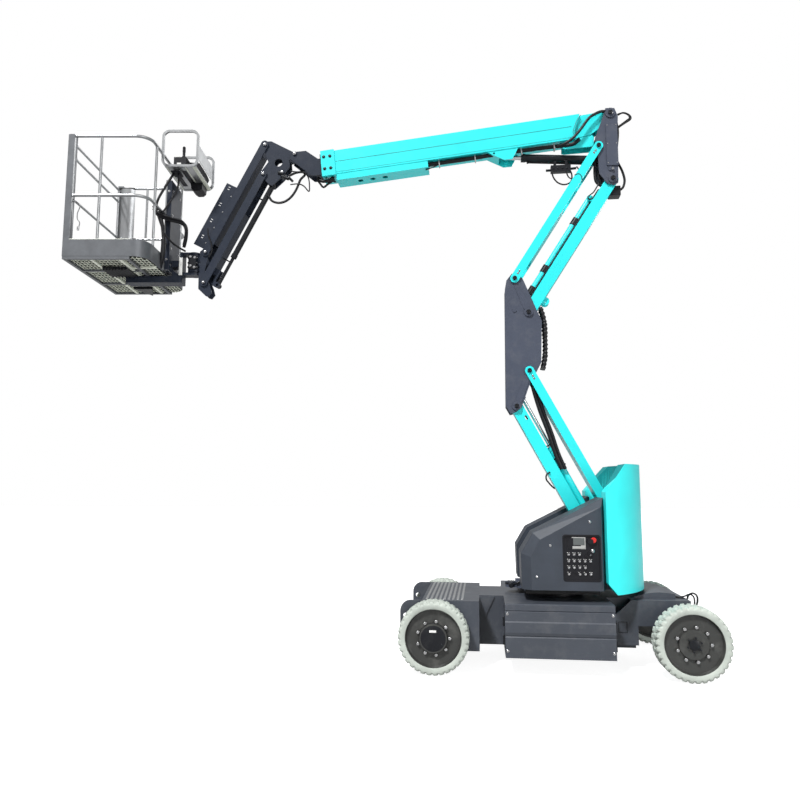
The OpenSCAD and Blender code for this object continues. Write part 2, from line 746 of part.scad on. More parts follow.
module boom_cylinder() {
  color(dark) along(boom_base, boom_eye) {
    difference() {
      union() {
        translate([0, 0, 0]) rotate([0, 90, 0]) cylinder(r = 36, h = 760);
        translate([0, -34, 0]) rotate([-90, 0, 0]) cylinder(r = 36, h = 68);
        translate([720, 0, 0]) rotate([0, 90, 0]) cylinder(r = 39, h = 40);
      }
      translate([60, 0, 0]) rotate([0, 90, 0]) cylinder(r = 24, h = 800);
      translate([0, -40, 0]) rotate([-90, 0, 0]) cylinder(r = 16 + run_fit, h = 80);
    }
    translate([60, 0, 44]) rotate([0, 90, 0]) cylinder(r = 7, h = 640);
    for (x = [64, 690]) translate([x, -8, 30]) cube([14, 16, 22]);
  }
}

module boom_rod() {
  color(steel) along(boom_base, boom_eye) {
    translate([120, 0, 0]) rotate([0, 90, 0]) cylinder(r = 20, h = norm(boom_eye - boom_base) - 130);
    translate([norm(boom_eye - boom_base), -24, 0]) rotate([-90, 0, 0]) cylinder(r = 21, h = 48);
  }
}

// Jib

module jib_knuckle() {
  color(slate) {
    both() difference() {
      prof([tip + [-243, 155], tip + [-24, 33], tip + [24, 22], tip + [30, -14], tip + [-14, -40],
            tip + [-60, -48], tip + [-53, -116], tip + [-127, -211], jc_base + [28, -10],
            jc_base + [4, -30], jc_base + [-28, -14], j2 + [-10, -34], j2 + [-32, -10], j2 + [-24, 30],
            tip + [-270, -56], j1 + [-4, -60], j1 + [-32, 0], j1 + [-14, 34]], jlug_in, jlug_out);
      yrod(tip + [-168, -68], 40, 0, 200);
    }
    both() {
      yrod(tip + [-128, -168], 24, jlug_out - 1, jlug_out + 8);
    }
    yrod(tip, pin_r, -fly_y - 8, fly_y + 8);
    yrod(j1, pin_r, -jib_y - 8, jib_y + 8);
    yrod(j2, pin_r, -jib_y - 8, jib_y + 8);
    yrod(jc_base, 13, -jlug_in - 1, jlug_in + 1);
    prof([tip + [-110, 20], tip + [-98, 20], tip + [-88, -110], tip + [-100, -110]], -jlug_in - 1, jlug_in + 1);
  }
}

module jib_bar(p, q) {
  difference() {
    bar(p, q, jib_h, -jib_y, jib_y, jib_h / 2);
    along(p, q) translate([122, -jib_y + 5, -jib_h / 2 + 5]) cube([jib_len - 244, 2 * jib_y - 10, jib_h - 10]);
    // Open forks at the ends
    along(p, q) translate([-jib_h, -jib_y + jib_wall, -jib_h]) cube([110 + jib_h, 2 * (jib_y - jib_wall), 2 * jib_h]);
    along(p, q) translate([jib_len - 110, -jib_y + jib_wall, -jib_h])
      cube([160 + jib_h, 2 * (jib_y - jib_wall), 2 * jib_h]);
    yrod(p, pin_r + run_fit, -200, 200);
    yrod(q, pin_r + run_fit, -200, 200);
  }
}

module jib_arm() {
  color(slate) {
    difference() {
      jib_bar(j2, j4);
      // Open side that lets the cylinder in when the jib is raised
      along(j2, j4) translate([90, -jib_y + jib_wall + 1, -18]) cube([340, 2 * (jib_y - jib_wall - 1), jib_h]);
    }
    // Ears for the rod end
    both() along(j2, j4) translate([0, 32, 0]) rotate([90, 0, 0]) linear_extrude(12) difference() {
      union() {
        translate([jib_len - 40, jc_off]) circle(r = 24);
        translate([jib_len - 64, jib_h / 2 + 26]) square([48, jc_off - jib_h / 2 - 26]);
        translate([jib_len - 180, jib_h / 2 - 3]) square([64, 50]);
        translate([jib_len - 118, jib_h / 2 + 26]) square([60, 21]);
      }
      translate([jib_len - 40, jc_off]) circle(r = 13);
    }
  }
}

module jib_link() {
  color(slate) {
    jib_bar(j1, j3);
    // Bolted mounting plate with its slots
    along(j1, j3) difference() {
      translate([497, -30, -jib_h / 2 - 130]) cube([683, 8, 164]);
      for (x = [520, 700, 880, 1060]) for (d = [0, 24])
        translate([x + d, -40, -jib_h / 2 - 100]) cube([7, 30, 26]);
      translate([jib_len - 112, -31, -jib_h / 2 - 6]) cube([120, 10, 60]);
    }
  }
}

module jib_end() {
  color(slate) {
    // Side plates, cut back where the arm swings in, with a foot below the lower pin
    both() prof([j3 + [-30, 34], j3 + [16, 32], j3 + [32, -4], j4 + [2, 118], j4 + [34, 20], j4 + [62, -40],
                 j4 + [80, -104], j4 + [48, -142], j4 + [20, -132], j4 + [-56, -59], j4 + [-57, 22],
                 j3 + [-66, -90], j3 + [-60, 10]], jlug_in, jlug_out);
    yrod(j3, pin_r, -jib_y - 8, jib_y + 8);
    yrod(j4, pin_r, -jib_y - 8, jib_y + 8);
    // Rotator housing
    translate([j3[0] - 70, -jlug_in - 1, j3[1] - 100]) cube([14, 2 * jlug_in + 2, 80]);
    translate([rot_x, 0, j3[1] - 190]) cylinder(r = 64, h = 170);
    translate([rot_x, -50, j3[1] - 130]) cube([j3[0] - 56 - rot_x, 100, 90]);
  }
}

module jib_cylinder() {
  color(dark) along(jc_base, jc_eye) difference() {
    union() {
      rotate([0, 90, 0]) cylinder(r = 26, h = 820);
      translate([0, -26, 0]) rotate([-90, 0, 0]) cylinder(r = 24, h = 52);
      translate([780, 0, 0]) rotate([0, 90, 0]) cylinder(r = 29, h = 40);
    }
    translate([50, 0, 0]) rotate([0, 90, 0]) cylinder(r = rod_r + 2, h = 800);
    translate([0, -30, 0]) rotate([-90, 0, 0]) cylinder(r = 13 + run_fit, h = 60);
  }
}

module jib_rod() {
  color(steel) along(jc_base, jc_eye) cyl_rod(200, norm(jc_eye - jc_base), rod_r, 22);
}

// Platform

module platform_support() {
  color(slate) at_plat() {
    translate([0, 0, j3[1] - 220]) cylinder(r = 58, h = 25);
    translate([0, 0, j3[1] - 15]) cylinder(r = 58, h = 20);
    translate([-110, -50, j3[1] - 220]) cube([110, 100, 25]);
    translate([-110, -50, j3[1] - 15]) cube([110, 100, 20]);
    translate([-128, -60, plat_z - 62]) cube([24, 120, j3[1] + 5 - plat_z + 62]);
    translate([-plat_in + 56, -60, j3[1] - 140]) cube([plat_in - 56 - 120, 120, 60]);
    translate([-640, -70, plat_z - 62]) cube([530, 140, 62]);
  }
}

module platform_floor() {
  color(steel) at_plat() {
    difference() {
      translate([0, 0, plat_z + 26]) linear_extrude(toe_h - 26) plat_outline(0);
      translate([0, 0, plat_z + 30]) linear_extrude(toe_h) plat_outline(4);
    }
    // Frame under the grating
    for (y = [-plat_y + 2, -230, 200, plat_y - 32]) translate([-plat_out + 2, y, plat_z])
      cube([plat_d - corner_r, 30, 27]);
    for (x = [-plat_out + 2, -plat_in - corner_r - 32]) translate([x, -plat_y + 2, plat_z]) cube([30, plat_w - 4, 27]);
  }
}

module rail_loop(z) {
  translate([-plat_out + 20, -plat_y + rail_r + 4, z]) rotate([0, 90, 0]) cylinder(r = rail_r, h = plat_d - corner_r - 20);
  translate([-plat_out + 20, plat_y - rail_r - 4, z]) rotate([0, 90, 0]) cylinder(r = rail_r, h = plat_d - corner_r - 20);
  translate([-plat_in - rail_r - 4, -plat_y + corner_r, z]) rotate([-90, 0, 0]) cylinder(r = rail_r, h = plat_w - 2 * corner_r);
  for (s = [-1, 1]) translate([-plat_in - corner_r, s * (plat_y - corner_r), z])
    rotate([0, 0, s < 0 ? -90 : 0]) rotate_extrude(angle = 90, $fn = 48)
      translate([corner_r - rail_r - 4, 0]) circle(r = rail_r, $fn = 24);
}

module post(x, y, z0, z1) {
  translate([x, y, z0]) cylinder(r = rail_r - 2, h = z1 - z0);
}

module platform_rails() {
  color(steel) at_plat() {
    rail_loop(plat_top - rail_r);
    rail_loop(mid_rail);
    for (s = [-1, 1]) {
      // Wide corner sheet at the entry side
      translate([-plat_out, s * (plat_y - 30) - 30, plat_z + toe_h]) cube([58, 60, plat_h - toe_h - 4]);
      post(-plat_out + 300, s * (plat_y - rail_r - 4), plat_z + toe_h - 20, plat_top - rail_r);
      post(-plat_in - rail_r - 4, s * (plat_y - corner_r - 60), plat_z + toe_h - 20, plat_top - rail_r);
    }
    // Mounting column on the jib side
    difference() {
      translate([-plat_in, -150, plat_z + 34]) cube([56, 300, 900]);
      translate([-plat_in + 6, -144, plat_z + 33]) cube([44, 288, 890]);
    }
    translate([-plat_in - 20, -150, mid_rail - 20]) cube([24, 300, 40]);
    // Guard loops round the control console
    for (y = [-280, 266]) translate([-plat_in - 8, y, 0]) guard_loop();
    // Tray between the loops, with its slots, and the panel that closes their outer side
    difference() {
      translate([-plat_in + 20, -268, plat_top - 162]) cube([300, 536, 6]);
      for (x = [60, 150]) translate([-plat_in + x, -180, plat_top - 170]) cube([50, 360, 20]);
    }
    translate([-plat_in + 328, -268, plat_top - 80]) cube([4, 536, 150]);
  }
}

module guard_loop() {
  translate([0, rail_r, 0]) rotate([90, 0, 0]) difference() {
    linear_extrude(20) round_rect(0, plat_top - 170, 352, 370, 70);
    translate([0, 0, -1]) linear_extrude(22) round_rect(22, plat_top - 148, 308, 326, 50);
  }
}

module round_rect(x, y, w, h, r) {
  translate([x + r, y]) square([w - 2 * r, h]);
  translate([x, y + r]) square([w, h - 2 * r]);
  for (i = [r, w - r]) for (j = [r, h - r]) translate([x + i, y + j]) circle(r = r);
}

module platform_gate() {
  color(steel) at_plat() {
    for (z = [plat_top - 60, plat_top - 190, mid_rail])
      translate([-plat_out + 18, -plat_y + 70, z]) rotate([-90, 0, 0]) cylinder(r = 11, h = plat_w - 140);
    for (y = [-plat_y + 82, plat_y - 82]) translate([-plat_out + 18, y, mid_rail - 200]) cylinder(r = 11, h = plat_top - 50 - mid_rail + 200);
  }
}

module control_console() {
  color(dark) at_plat() {
    translate([-plat_in + 56, -250, plat_top - 156]) cube([230, 500, 12]);
    translate([-plat_in + 96, -240, plat_top - 145]) cube([120, 150, 92]);
    prof([[-plat_in + 130, plat_top - 145], [-plat_in + 290, plat_top - 145], [-plat_in + 316, plat_top - 90],
          [-plat_in + 290, plat_top - 30], [-plat_in + 190, plat_top - 20], [-plat_in + 130, plat_top - 60]], -60, 200);
    translate([-plat_in + 175, -190, plat_top - 54]) cylinder(r = 13, h = 74);
  }
}

chassis_frame();
battery_boxes();
battery_packs();
slew_ring();
drive_axle();
steer_axle();
steer_knuckle(-1);  // steer_knuckle_near
steer_knuckle(1);  // steer_knuckle_far
tyre(drive_x, -1);  // tyre_drive_near
rim(drive_x, -1, tyre_w - 2);  // rim_drive_near
tyre(drive_x, 1);  // tyre_drive_far
rim(drive_x, 1, tyre_w - 2);  // rim_drive_far
tyre(steer_x, -1);  // tyre_steer_near
rim(steer_x, -1, tyre_w - 20);  // rim_steer_near
tyre(steer_x, 1);  // tyre_steer_far
rim(steer_x, 1, tyre_w - 20);  // rim_steer_far
turntable_frame();
side_cowls();
control_panel();
counterweight();
lower_arm();
lower_link();
mid_link();
upper_arm();
upper_link();
tower_head();
lower_cylinder();
lower_rod();
upper_cylinder();
upper_rod();
main_boom();
fly_boom();
boom_cylinder();
boom_rod();
jib_knuckle();
jib_arm();
jib_link();
jib_end();
jib_cylinder();
jib_rod();
platform_support();
platform_floor();
platform_rails();
platform_gate();
control_console();
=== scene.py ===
"""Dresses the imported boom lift: paint, rubber and metal finishes, tyre lugs, hoses, the platform's
grating and controls, and the small fittings that the solids leave out. Lengths are in metres."""

import json
import math

import bpy
import bmesh
from mathutils import Matrix, Vector


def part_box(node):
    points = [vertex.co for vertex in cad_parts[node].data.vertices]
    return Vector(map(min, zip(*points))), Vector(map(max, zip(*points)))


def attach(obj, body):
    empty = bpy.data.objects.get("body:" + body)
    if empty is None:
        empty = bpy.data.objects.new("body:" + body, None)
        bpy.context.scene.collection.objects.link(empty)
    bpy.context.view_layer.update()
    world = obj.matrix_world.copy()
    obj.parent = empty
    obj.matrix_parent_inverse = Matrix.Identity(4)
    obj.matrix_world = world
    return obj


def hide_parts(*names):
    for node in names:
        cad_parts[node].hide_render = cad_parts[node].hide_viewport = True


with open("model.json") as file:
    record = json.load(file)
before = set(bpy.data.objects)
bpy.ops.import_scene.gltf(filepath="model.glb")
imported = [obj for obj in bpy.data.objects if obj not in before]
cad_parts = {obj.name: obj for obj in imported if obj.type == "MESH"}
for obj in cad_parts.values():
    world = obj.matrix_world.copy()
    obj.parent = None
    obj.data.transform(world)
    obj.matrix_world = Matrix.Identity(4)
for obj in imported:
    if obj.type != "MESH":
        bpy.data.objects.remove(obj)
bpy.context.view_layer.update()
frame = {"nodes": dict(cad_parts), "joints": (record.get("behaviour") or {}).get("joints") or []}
NODES = frame["nodes"]
JOINTS = {joint["name"]: joint for joint in frame["joints"]}
SIDES = (-1, 1)
WHEELS = ("drive_near", "drive_far", "steer_near", "steer_far")
scene = bpy.context.scene

# Camera

CAMERA_PLACE = (-0.573, -6.343, 1.454)
CAMERA_YAW = 0.117
CAMERA_PITCH = 0.122
CAMERA_LENS = 31.52
SENSOR_WIDTH = 36.0


def aim(obj, direction):
    """Turns a camera or a lamp to look along the direction."""
    obj.rotation_euler = Vector(direction).to_track_quat("-Z", "Y").to_euler()


def make_camera():
    data = bpy.data.cameras.new("camera")
    data.lens = CAMERA_LENS
    data.sensor_width = SENSOR_WIDTH
    data.clip_end = 200.0
    camera = bpy.data.objects.new("camera", data)
    scene.collection.objects.link(camera)
    camera.location = CAMERA_PLACE
    level = math.cos(CAMERA_PITCH)
    aim(camera, (-math.sin(CAMERA_YAW) * level, math.cos(CAMERA_YAW) * level, math.sin(CAMERA_PITCH)))
    scene.camera = camera


make_camera()

# Materials

MATERIALS = {}
MIX_FACTOR, MIX_FIRST, MIX_SECOND, MIX_RESULT = 0, 6, 7, 2


class Graph:
    """Builds one entry of MATERIALS. A socket takes a plain value or another node's output."""

    def __init__(self, name):
        material = MATERIALS[name] = bpy.data.materials.new(name)
        material.use_nodes = True
        self.tree = material.node_tree
        self.place = self.tree.nodes.new("ShaderNodeTexCoord").outputs["Object"]

    def feed(self, node, **sockets):
        for key, value in sockets.items():
            socket = node.inputs[key.replace("_", " ")]
            if isinstance(value, bpy.types.NodeSocket):
                self.tree.links.new(value, socket)
            else:
                socket.default_value = value
        return node

    def node(self, kind, **sockets):
        return self.feed(self.tree.nodes.new(kind), **sockets)

    def surface(self, **sockets):
        self.feed(self.tree.nodes["Principled BSDF"], **sockets)

    def noise(self, scale, detail=4.0, rough=0.55, stretch=None):
        place = self.place
        if stretch:
            place = self.node("ShaderNodeMapping", Vector=place, Scale=stretch).outputs["Vector"]
        made = self.node("ShaderNodeTexNoise", Vector=place, Scale=scale, Detail=detail, Roughness=rough)
        return made.outputs["Fac"]

    def ramp(self, factor, low, first, high, second):
        """Runs from the first colour at low to the second at high."""
        made = self.node("ShaderNodeValToRGB", Fac=factor)
        for element, place, color in zip(made.color_ramp.elements, (low, high), (first, second)):
            element.position = place
            element.color = (*color, 1.0)
        return made.outputs["Color"]

    def span(self, factor, low, high):
        return self.node("ShaderNodeMapRange", Value=factor, To_Min=low, To_Max=high).outputs["Result"]

    def mix(self, factor, first, second):
        made = self.tree.nodes.new("ShaderNodeMix")
        made.data_type = "RGBA"
        for index, value in ((MIX_FACTOR, factor), (MIX_FIRST, first), (MIX_SECOND, second)):
            if isinstance(value, tuple):
                made.inputs[index].default_value = (*value, 1.0)
            else:
                self.tree.links.new(value, made.inputs[index])
        return made.outputs[MIX_RESULT]

    def bump(self, height, strength, distance, **under):
        made = self.node("ShaderNodeBump", Height=height, Strength=strength, Distance=distance, **under)
        return made.outputs["Normal"]


def shade(color, factor):
    return tuple(min(1.0, channel * factor) for channel in color)


def grey(value):
    return (value, value, value)


def paint(name, color, rough=0.36, coat=0.25, grime=0.1, dust=(0.42, 0.41, 0.38), peel=0.05, spec=0.5):
    """Sprayed enamel: slight tone drift, fine orange peel, dust and faint scuffs."""
    g = Graph(name)
    drift = g.ramp(g.noise(2.2, 3.0), 0.35, shade(color, 0.94), 0.65, shade(color, 1.05))
    dirt = g.ramp(g.noise(9.0, 6.0, 0.62), 0.5, grey(0), 0.78, grey(grime))
    scuff = g.ramp(g.noise(55.0, 3.0, 0.5, (1.0, 1.0, 6.0)), 0.66, grey(0), 0.74, grey(0.12))
    g.surface(
        Base_Color=g.mix(scuff, g.mix(dirt, drift, dust), shade(color, 1.35)),
        Roughness=g.span(g.noise(14.0, 5.0), rough - 0.05, rough + 0.09),
        Specular_IOR_Level=spec, Coat_Weight=coat, Coat_Roughness=0.18,
        Normal=g.bump(g.noise(900.0, 2.0), peel, 0.0004))


def plastic(name, color, rough=0.55, grain=0.12, spec=0.5):
    """Moulded plastic or rubber with a fine grain."""
    g = Graph(name)
    g.surface(
        Base_Color=g.ramp(g.noise(5.0), 0.35, shade(color, 0.9), 0.65, shade(color, 1.1)),
        Roughness=g.span(g.noise(30.0), rough - 0.07, rough + 0.07),
        Specular_IOR_Level=spec,
        Normal=g.bump(g.noise(650.0, 4.0, 0.6), grain, 0.0008))


def bare_metal(name, color, rough=0.34, streak=30.0, blotch=0.1, metallic=1.0):
    """Brushed, drawn or galvanised metal; streak draws its grain out across z."""
    g = Graph(name)
    grain = (1.0, 1.0, streak)
    blotches = g.noise(11.0, 5.0, 0.6)
    g.surface(
        Base_Color=g.ramp(blotches, 0.3, shade(color, 1 - blotch), 0.7, shade(color, 1 + blotch)),
        Metallic=metallic,
        Roughness=g.span(g.noise(40.0, 4.0, 0.6, grain), rough - 0.08, rough + 0.1),
        Normal=g.bump(g.noise(300.0, 3.0, 0.5, grain), 0.08, 0.0005))


def tyre_compound(name, color):
    """Pale solid rubber, dirty in patches."""
    g = Graph(name)
    base = g.ramp(g.noise(7.0, 6.0, 0.6), 0.3, shade(color, 0.82), 0.7, shade(color, 1.08))
    dirt = g.ramp(g.noise(16.0, 8.0, 0.7), 0.55, grey(0), 0.8, grey(0.45))
    coarse = g.bump(g.noise(90.0, 6.0, 0.65), 0.25, 0.002)
    g.surface(
        Base_Color=g.mix(dirt, base, (0.3, 0.3, 0.27)),
        Roughness=g.span(g.noise(24.0), 0.74, 0.92),
        Normal=g.bump(g.noise(700.0, 3.0), 0.18, 0.0006, Normal=coarse))


TURQUOISE_DUST = (0.1, 0.7, 0.7)

paint("arm_paint", (0.02, 0.76, 0.78), 0.33, 0.3, 0.03, TURQUOISE_DUST)
paint("counterweight", (0.034, 0.97, 0.98), 0.36, 0.25, 0.02, TURQUOISE_DUST, 0.12)
# Darker teal that paints the shade inside the counterweight's hollow
paint("counterweight_painted_shade", (0.004, 0.26, 0.27), 0.6, 0.0, 0.05, spec=0.2)
paint("frame_paint", (0.06, 0.07, 0.1), 0.42, 0.05, 0.08, spec=0.3)
paint("jib_paint", (0.021, 0.027, 0.042), 0.38, 0.02, 0.03, spec=0.2)
paint("chassis_paint", (0.048, 0.055, 0.07), 0.4, 0.15, 0.08)
paint("rim_paint", (0.034, 0.035, 0.033), 0.38, 0.1, 0.12)
paint("black_paint", (0.01, 0.011, 0.014), 0.34, 0.03, 0.03, spec=0.25)
plastic("cowl", (0.035, 0.043, 0.058), 0.48, 0.1)
plastic("black_plastic", (0.01, 0.01, 0.013), 0.5, spec=0.25)
plastic("grey_plastic", (0.36, 0.36, 0.35), 0.45)
plastic("screen", (0.1, 0.11, 0.11), 0.12, 0.0)
plastic("red", (0.62, 0.02, 0.015), 0.35, 0.03)
plastic("white", (0.72, 0.72, 0.7), 0.5, 0.03)
plastic("seam", (0.01, 0.15, 0.16), 0.5)
plastic("grating_shadow", (0.028, 0.031, 0.024), 0.8, spec=0.1)
plastic("hose", (0.009, 0.009, 0.011), 0.46, 0.06, 0.3)
plastic("rubber", (0.014, 0.014, 0.015), 0.72, 0.2)
tyre_compound("tyre", (0.46, 0.5, 0.455))
bare_metal("galvanised", (0.42, 0.43, 0.44), 0.3, 3.0, metallic=0.7)
bare_metal("sheet_steel", (0.135, 0.143, 0.155), 0.42, 3.0, 0.12, 0.25)
bare_metal("pale_steel", (0.8, 0.83, 0.72), 0.5, 3.0, metallic=0.1)
bare_metal("steel", (0.55, 0.55, 0.56), 0.3)
bare_metal("chrome", (0.78, 0.79, 0.8), 0.14, blotch=0.03)

NODE_FINISH = {
    "arm_paint": ["lower_arm", "lower_link", "upper_arm", "upper_link", "main_boom", "lower_cylinder",
                  "upper_cylinder"],
    "counterweight": ["counterweight"],
    "frame_paint": ["turntable_frame", "mid_link", "tower_head"],
    "jib_paint": ["fly_boom", "jib_knuckle", "jib_arm", "jib_link", "jib_end", "platform_support"],
    "chassis_paint": ["chassis_frame", "battery_boxes"],
    "cowl": ["side_cowls"],
    "black_plastic": ["battery_packs", "control_panel", "control_console"],
    "black_paint": ["drive_axle", "steer_axle", "steer_knuckle_near", "steer_knuckle_far", "slew_ring",
                    "boom_cylinder", "jib_cylinder", "jib_rod"],
    "rim_paint": [f"rim_{tag}" for tag in WHEELS],
    "tyre": [f"tyre_{tag}" for tag in WHEELS],
    "chrome": ["lower_rod", "upper_rod", "boom_rod"],
    "galvanised": ["platform_rails", "platform_gate"],
    "sheet_steel": ["platform_floor"],
}
# Height above which the hollow's inward faces get the painted shade
PAINTED_SHADE_FROM = 1.2


def finish_nodes():
    for key, names in NODE_FINISH.items():
        for name in names:
            mesh = NODES[name].data
            mesh.materials.clear()
            mesh.materials.append(MATERIALS[key])


def paint_shade_inside_counterweight():
    """Painted shade: the inward faces of the casting's hollow, above a height, get a deeper tone than its
    outside, standing in for the shade that falls in there.
    """
    mesh = NODES["counterweight"].data
    mesh.materials.append(MATERIALS["counterweight_painted_shade"])
    for polygon in mesh.polygons:
        outward = Vector((polygon.center.x, polygon.center.y, 0)).normalized()
        if polygon.normal.dot(outward) < -0.5 and polygon.center.z > PAINTED_SHADE_FROM:
            polygon.material_index = 1


finish_nodes()
paint_shade_inside_counterweight()

# Stage and light

FLOOR_HALF = 40.0
FLOOR_DROP = 0.001


def ray_strength(tree, others, seen):
    """A strength that camera rays meet, straight or through glass, and another for all other rays."""
    path = tree.nodes.new("ShaderNodeLightPath")
    either = tree.nodes.new("ShaderNodeMath")
    either.operation = "MAXIMUM"
    tree.links.new(path.outputs["Is Camera Ray"], either.inputs[0])
    tree.links.new(path.outputs["Is Transmission Ray"], either.inputs[1])
    strength = tree.nodes.new("ShaderNodeMapRange")
    strength.inputs["To Min"].default_value = others
    strength.inputs["To Max"].default_value = seen
    tree.links.new(either.outputs[0], strength.inputs["Value"])
    return strength.outputs["Result"]


def make_stage():
    """Pale floor that shows plain white to the camera and keeps the shadow for it."""
    g = Graph("floor_white")
    g.surface(Base_Color=(0.42, 0.42, 0.42, 1.0), Roughness=0.9, Emission_Color=(1.0, 1.0, 1.0, 1.0),
              Emission_Strength=ray_strength(g.tree, 0.0, 0.92))
    mesh = bpy.data.meshes.new("floor")
    corners = [(x * FLOOR_HALF, y * FLOOR_HALF, 0) for x, y in ((-1, -1), (1, -1), (1, 1), (-1, 1))]
    mesh.from_pydata(corners, [], [(0, 1, 2, 3)])
    mesh.materials.append(MATERIALS["floor_white"])
    floor = bpy.data.objects.new("floor", mesh)
    floor.location = (0, 0, -FLOOR_DROP)
    scene.collection.objects.link(floor)


def add_lamp(name, kind, direction, energy):
    data = bpy.data.lights.new(name, kind)
    data.energy = energy
    lamp = bpy.data.objects.new(name, data)
    scene.collection.objects.link(lamp)
    aim(lamp, direction)
    return lamp


def area_light(name, place, target, size, energy):
    lamp = add_lamp(name, "AREA", Vector(target) - Vector(place), energy)
    lamp.data.size = size
    lamp.location = place


def sun_light(name, travel, energy, spread):
    """Even light that travels along the vector, soft by spread degrees."""
    add_lamp(name, "SUN", travel, energy).data.angle = math.radians(spread)


def make_lights():
    scene.world = bpy.data.worlds.new("studio")
    scene.world.use_nodes = True
    tree = scene.world.node_tree
    back = tree.nodes["Background"]
    back.inputs["Color"].default_value = (1, 1, 1, 1)
    tree.links.new(ray_strength(tree, 0.3, 1.0), back.inputs["Strength"])
    sun_light("key", (0.3, 0.55, -0.8), 4.1, 7)
    sun_light("fill", (-0.66, 0.72, -0.2), 1.05, 30)
    area_light("back", (2.0, 9.0, 9.0), (-1.0, 0, 3.0), 5.0, 260)


make_stage()
make_lights()
scene.view_settings.view_transform = "Standard"

# Mesh helpers

TUBE_STEP = 0.012


def add_piece(name, bm, material, body, slot, bevel=0.0, angle=35.0):
    """Makes a piece that rides a body. Edges sharper than the angle stay sharp and can have a bevel."""
    limit = math.radians(angle)
    bmesh.ops.recalc_face_normals(bm, faces=bm.faces)
    bm.normal_update()
    for face in bm.faces:
        face.smooth = True
    for edge in bm.edges:
        if len(edge.link_faces) == 2 and edge.calc_face_angle() > limit:
            edge.smooth = False
    mesh = bpy.data.meshes.new(name)
    bm.to_mesh(mesh)
    bm.free()
    mesh.materials.append(MATERIALS[material])
    piece = bpy.data.objects.new(name, mesh)
    scene.collection.objects.link(piece)
    if bevel:
        rounding = piece.modifiers.new("bevel", "BEVEL")
        rounding.width = bevel
        rounding.segments = 2
        rounding.limit_method = "ANGLE"
        rounding.angle_limit = limit
    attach(piece, body)
    return piece


def smooth_line(points):
    """Catmull-Rom through the points, sampled about every TUBE_STEP."""
    points = [Vector(p) for p in points]
    if len(points) == 2:
        return points
    ends = [2 * points[0] - points[1]] + points + [2 * points[-1] - points[-2]]
    line = []
    for a, b, c, d in zip(ends, ends[1:], ends[2:], ends[3:]):
        count = max(3, int((c - b).length / TUBE_STEP))
        for i in range(count):
            t = i / count
            line.append(0.5 * (2 * b + (c - a) * t + (2 * a - 5 * b + 4 * c - d) * t * t
                               + (3 * b - a - 3 * c + d) * t ** 3))
    line.append(points[-1])
    return line


def circle(radius, count):
    """Points round the origin, or the origin alone when the radius is 0."""
    turns = [2 * math.pi * k / count for k in range(count if radius else 1)]
    return [(radius * math.cos(t), radius * math.sin(t)) for t in turns]


def arc(x, y, r, start, end, n=8):
    """Points of an arc, in degrees."""
    turns = [math.radians(start + (end - start) * i / n) for i in range(n + 1)]
    return [(x + r * math.cos(t), y + r * math.sin(t)) for t in turns]


def rounded_rect(x, z, w, h, r, n=5):
    return (arc(x + w - r, z + h - r, r, 0, 90, n) + arc(x + r, z + h - r, r, 90, 180, n)
            + arc(x + r, z + r, r, 180, 270, n) + arc(x + w - r, z + r, r, 270, 360, n))


def at_y(y, *points):
    return [(x, y, z) for x, z in points]


def ribbed(radius, rib, ribs):
    """Radius of a corrugated hose at the share t of its length."""
    return lambda t: radius + rib * math.copysign(1, math.sin(t * ribs * 2 * math.pi))


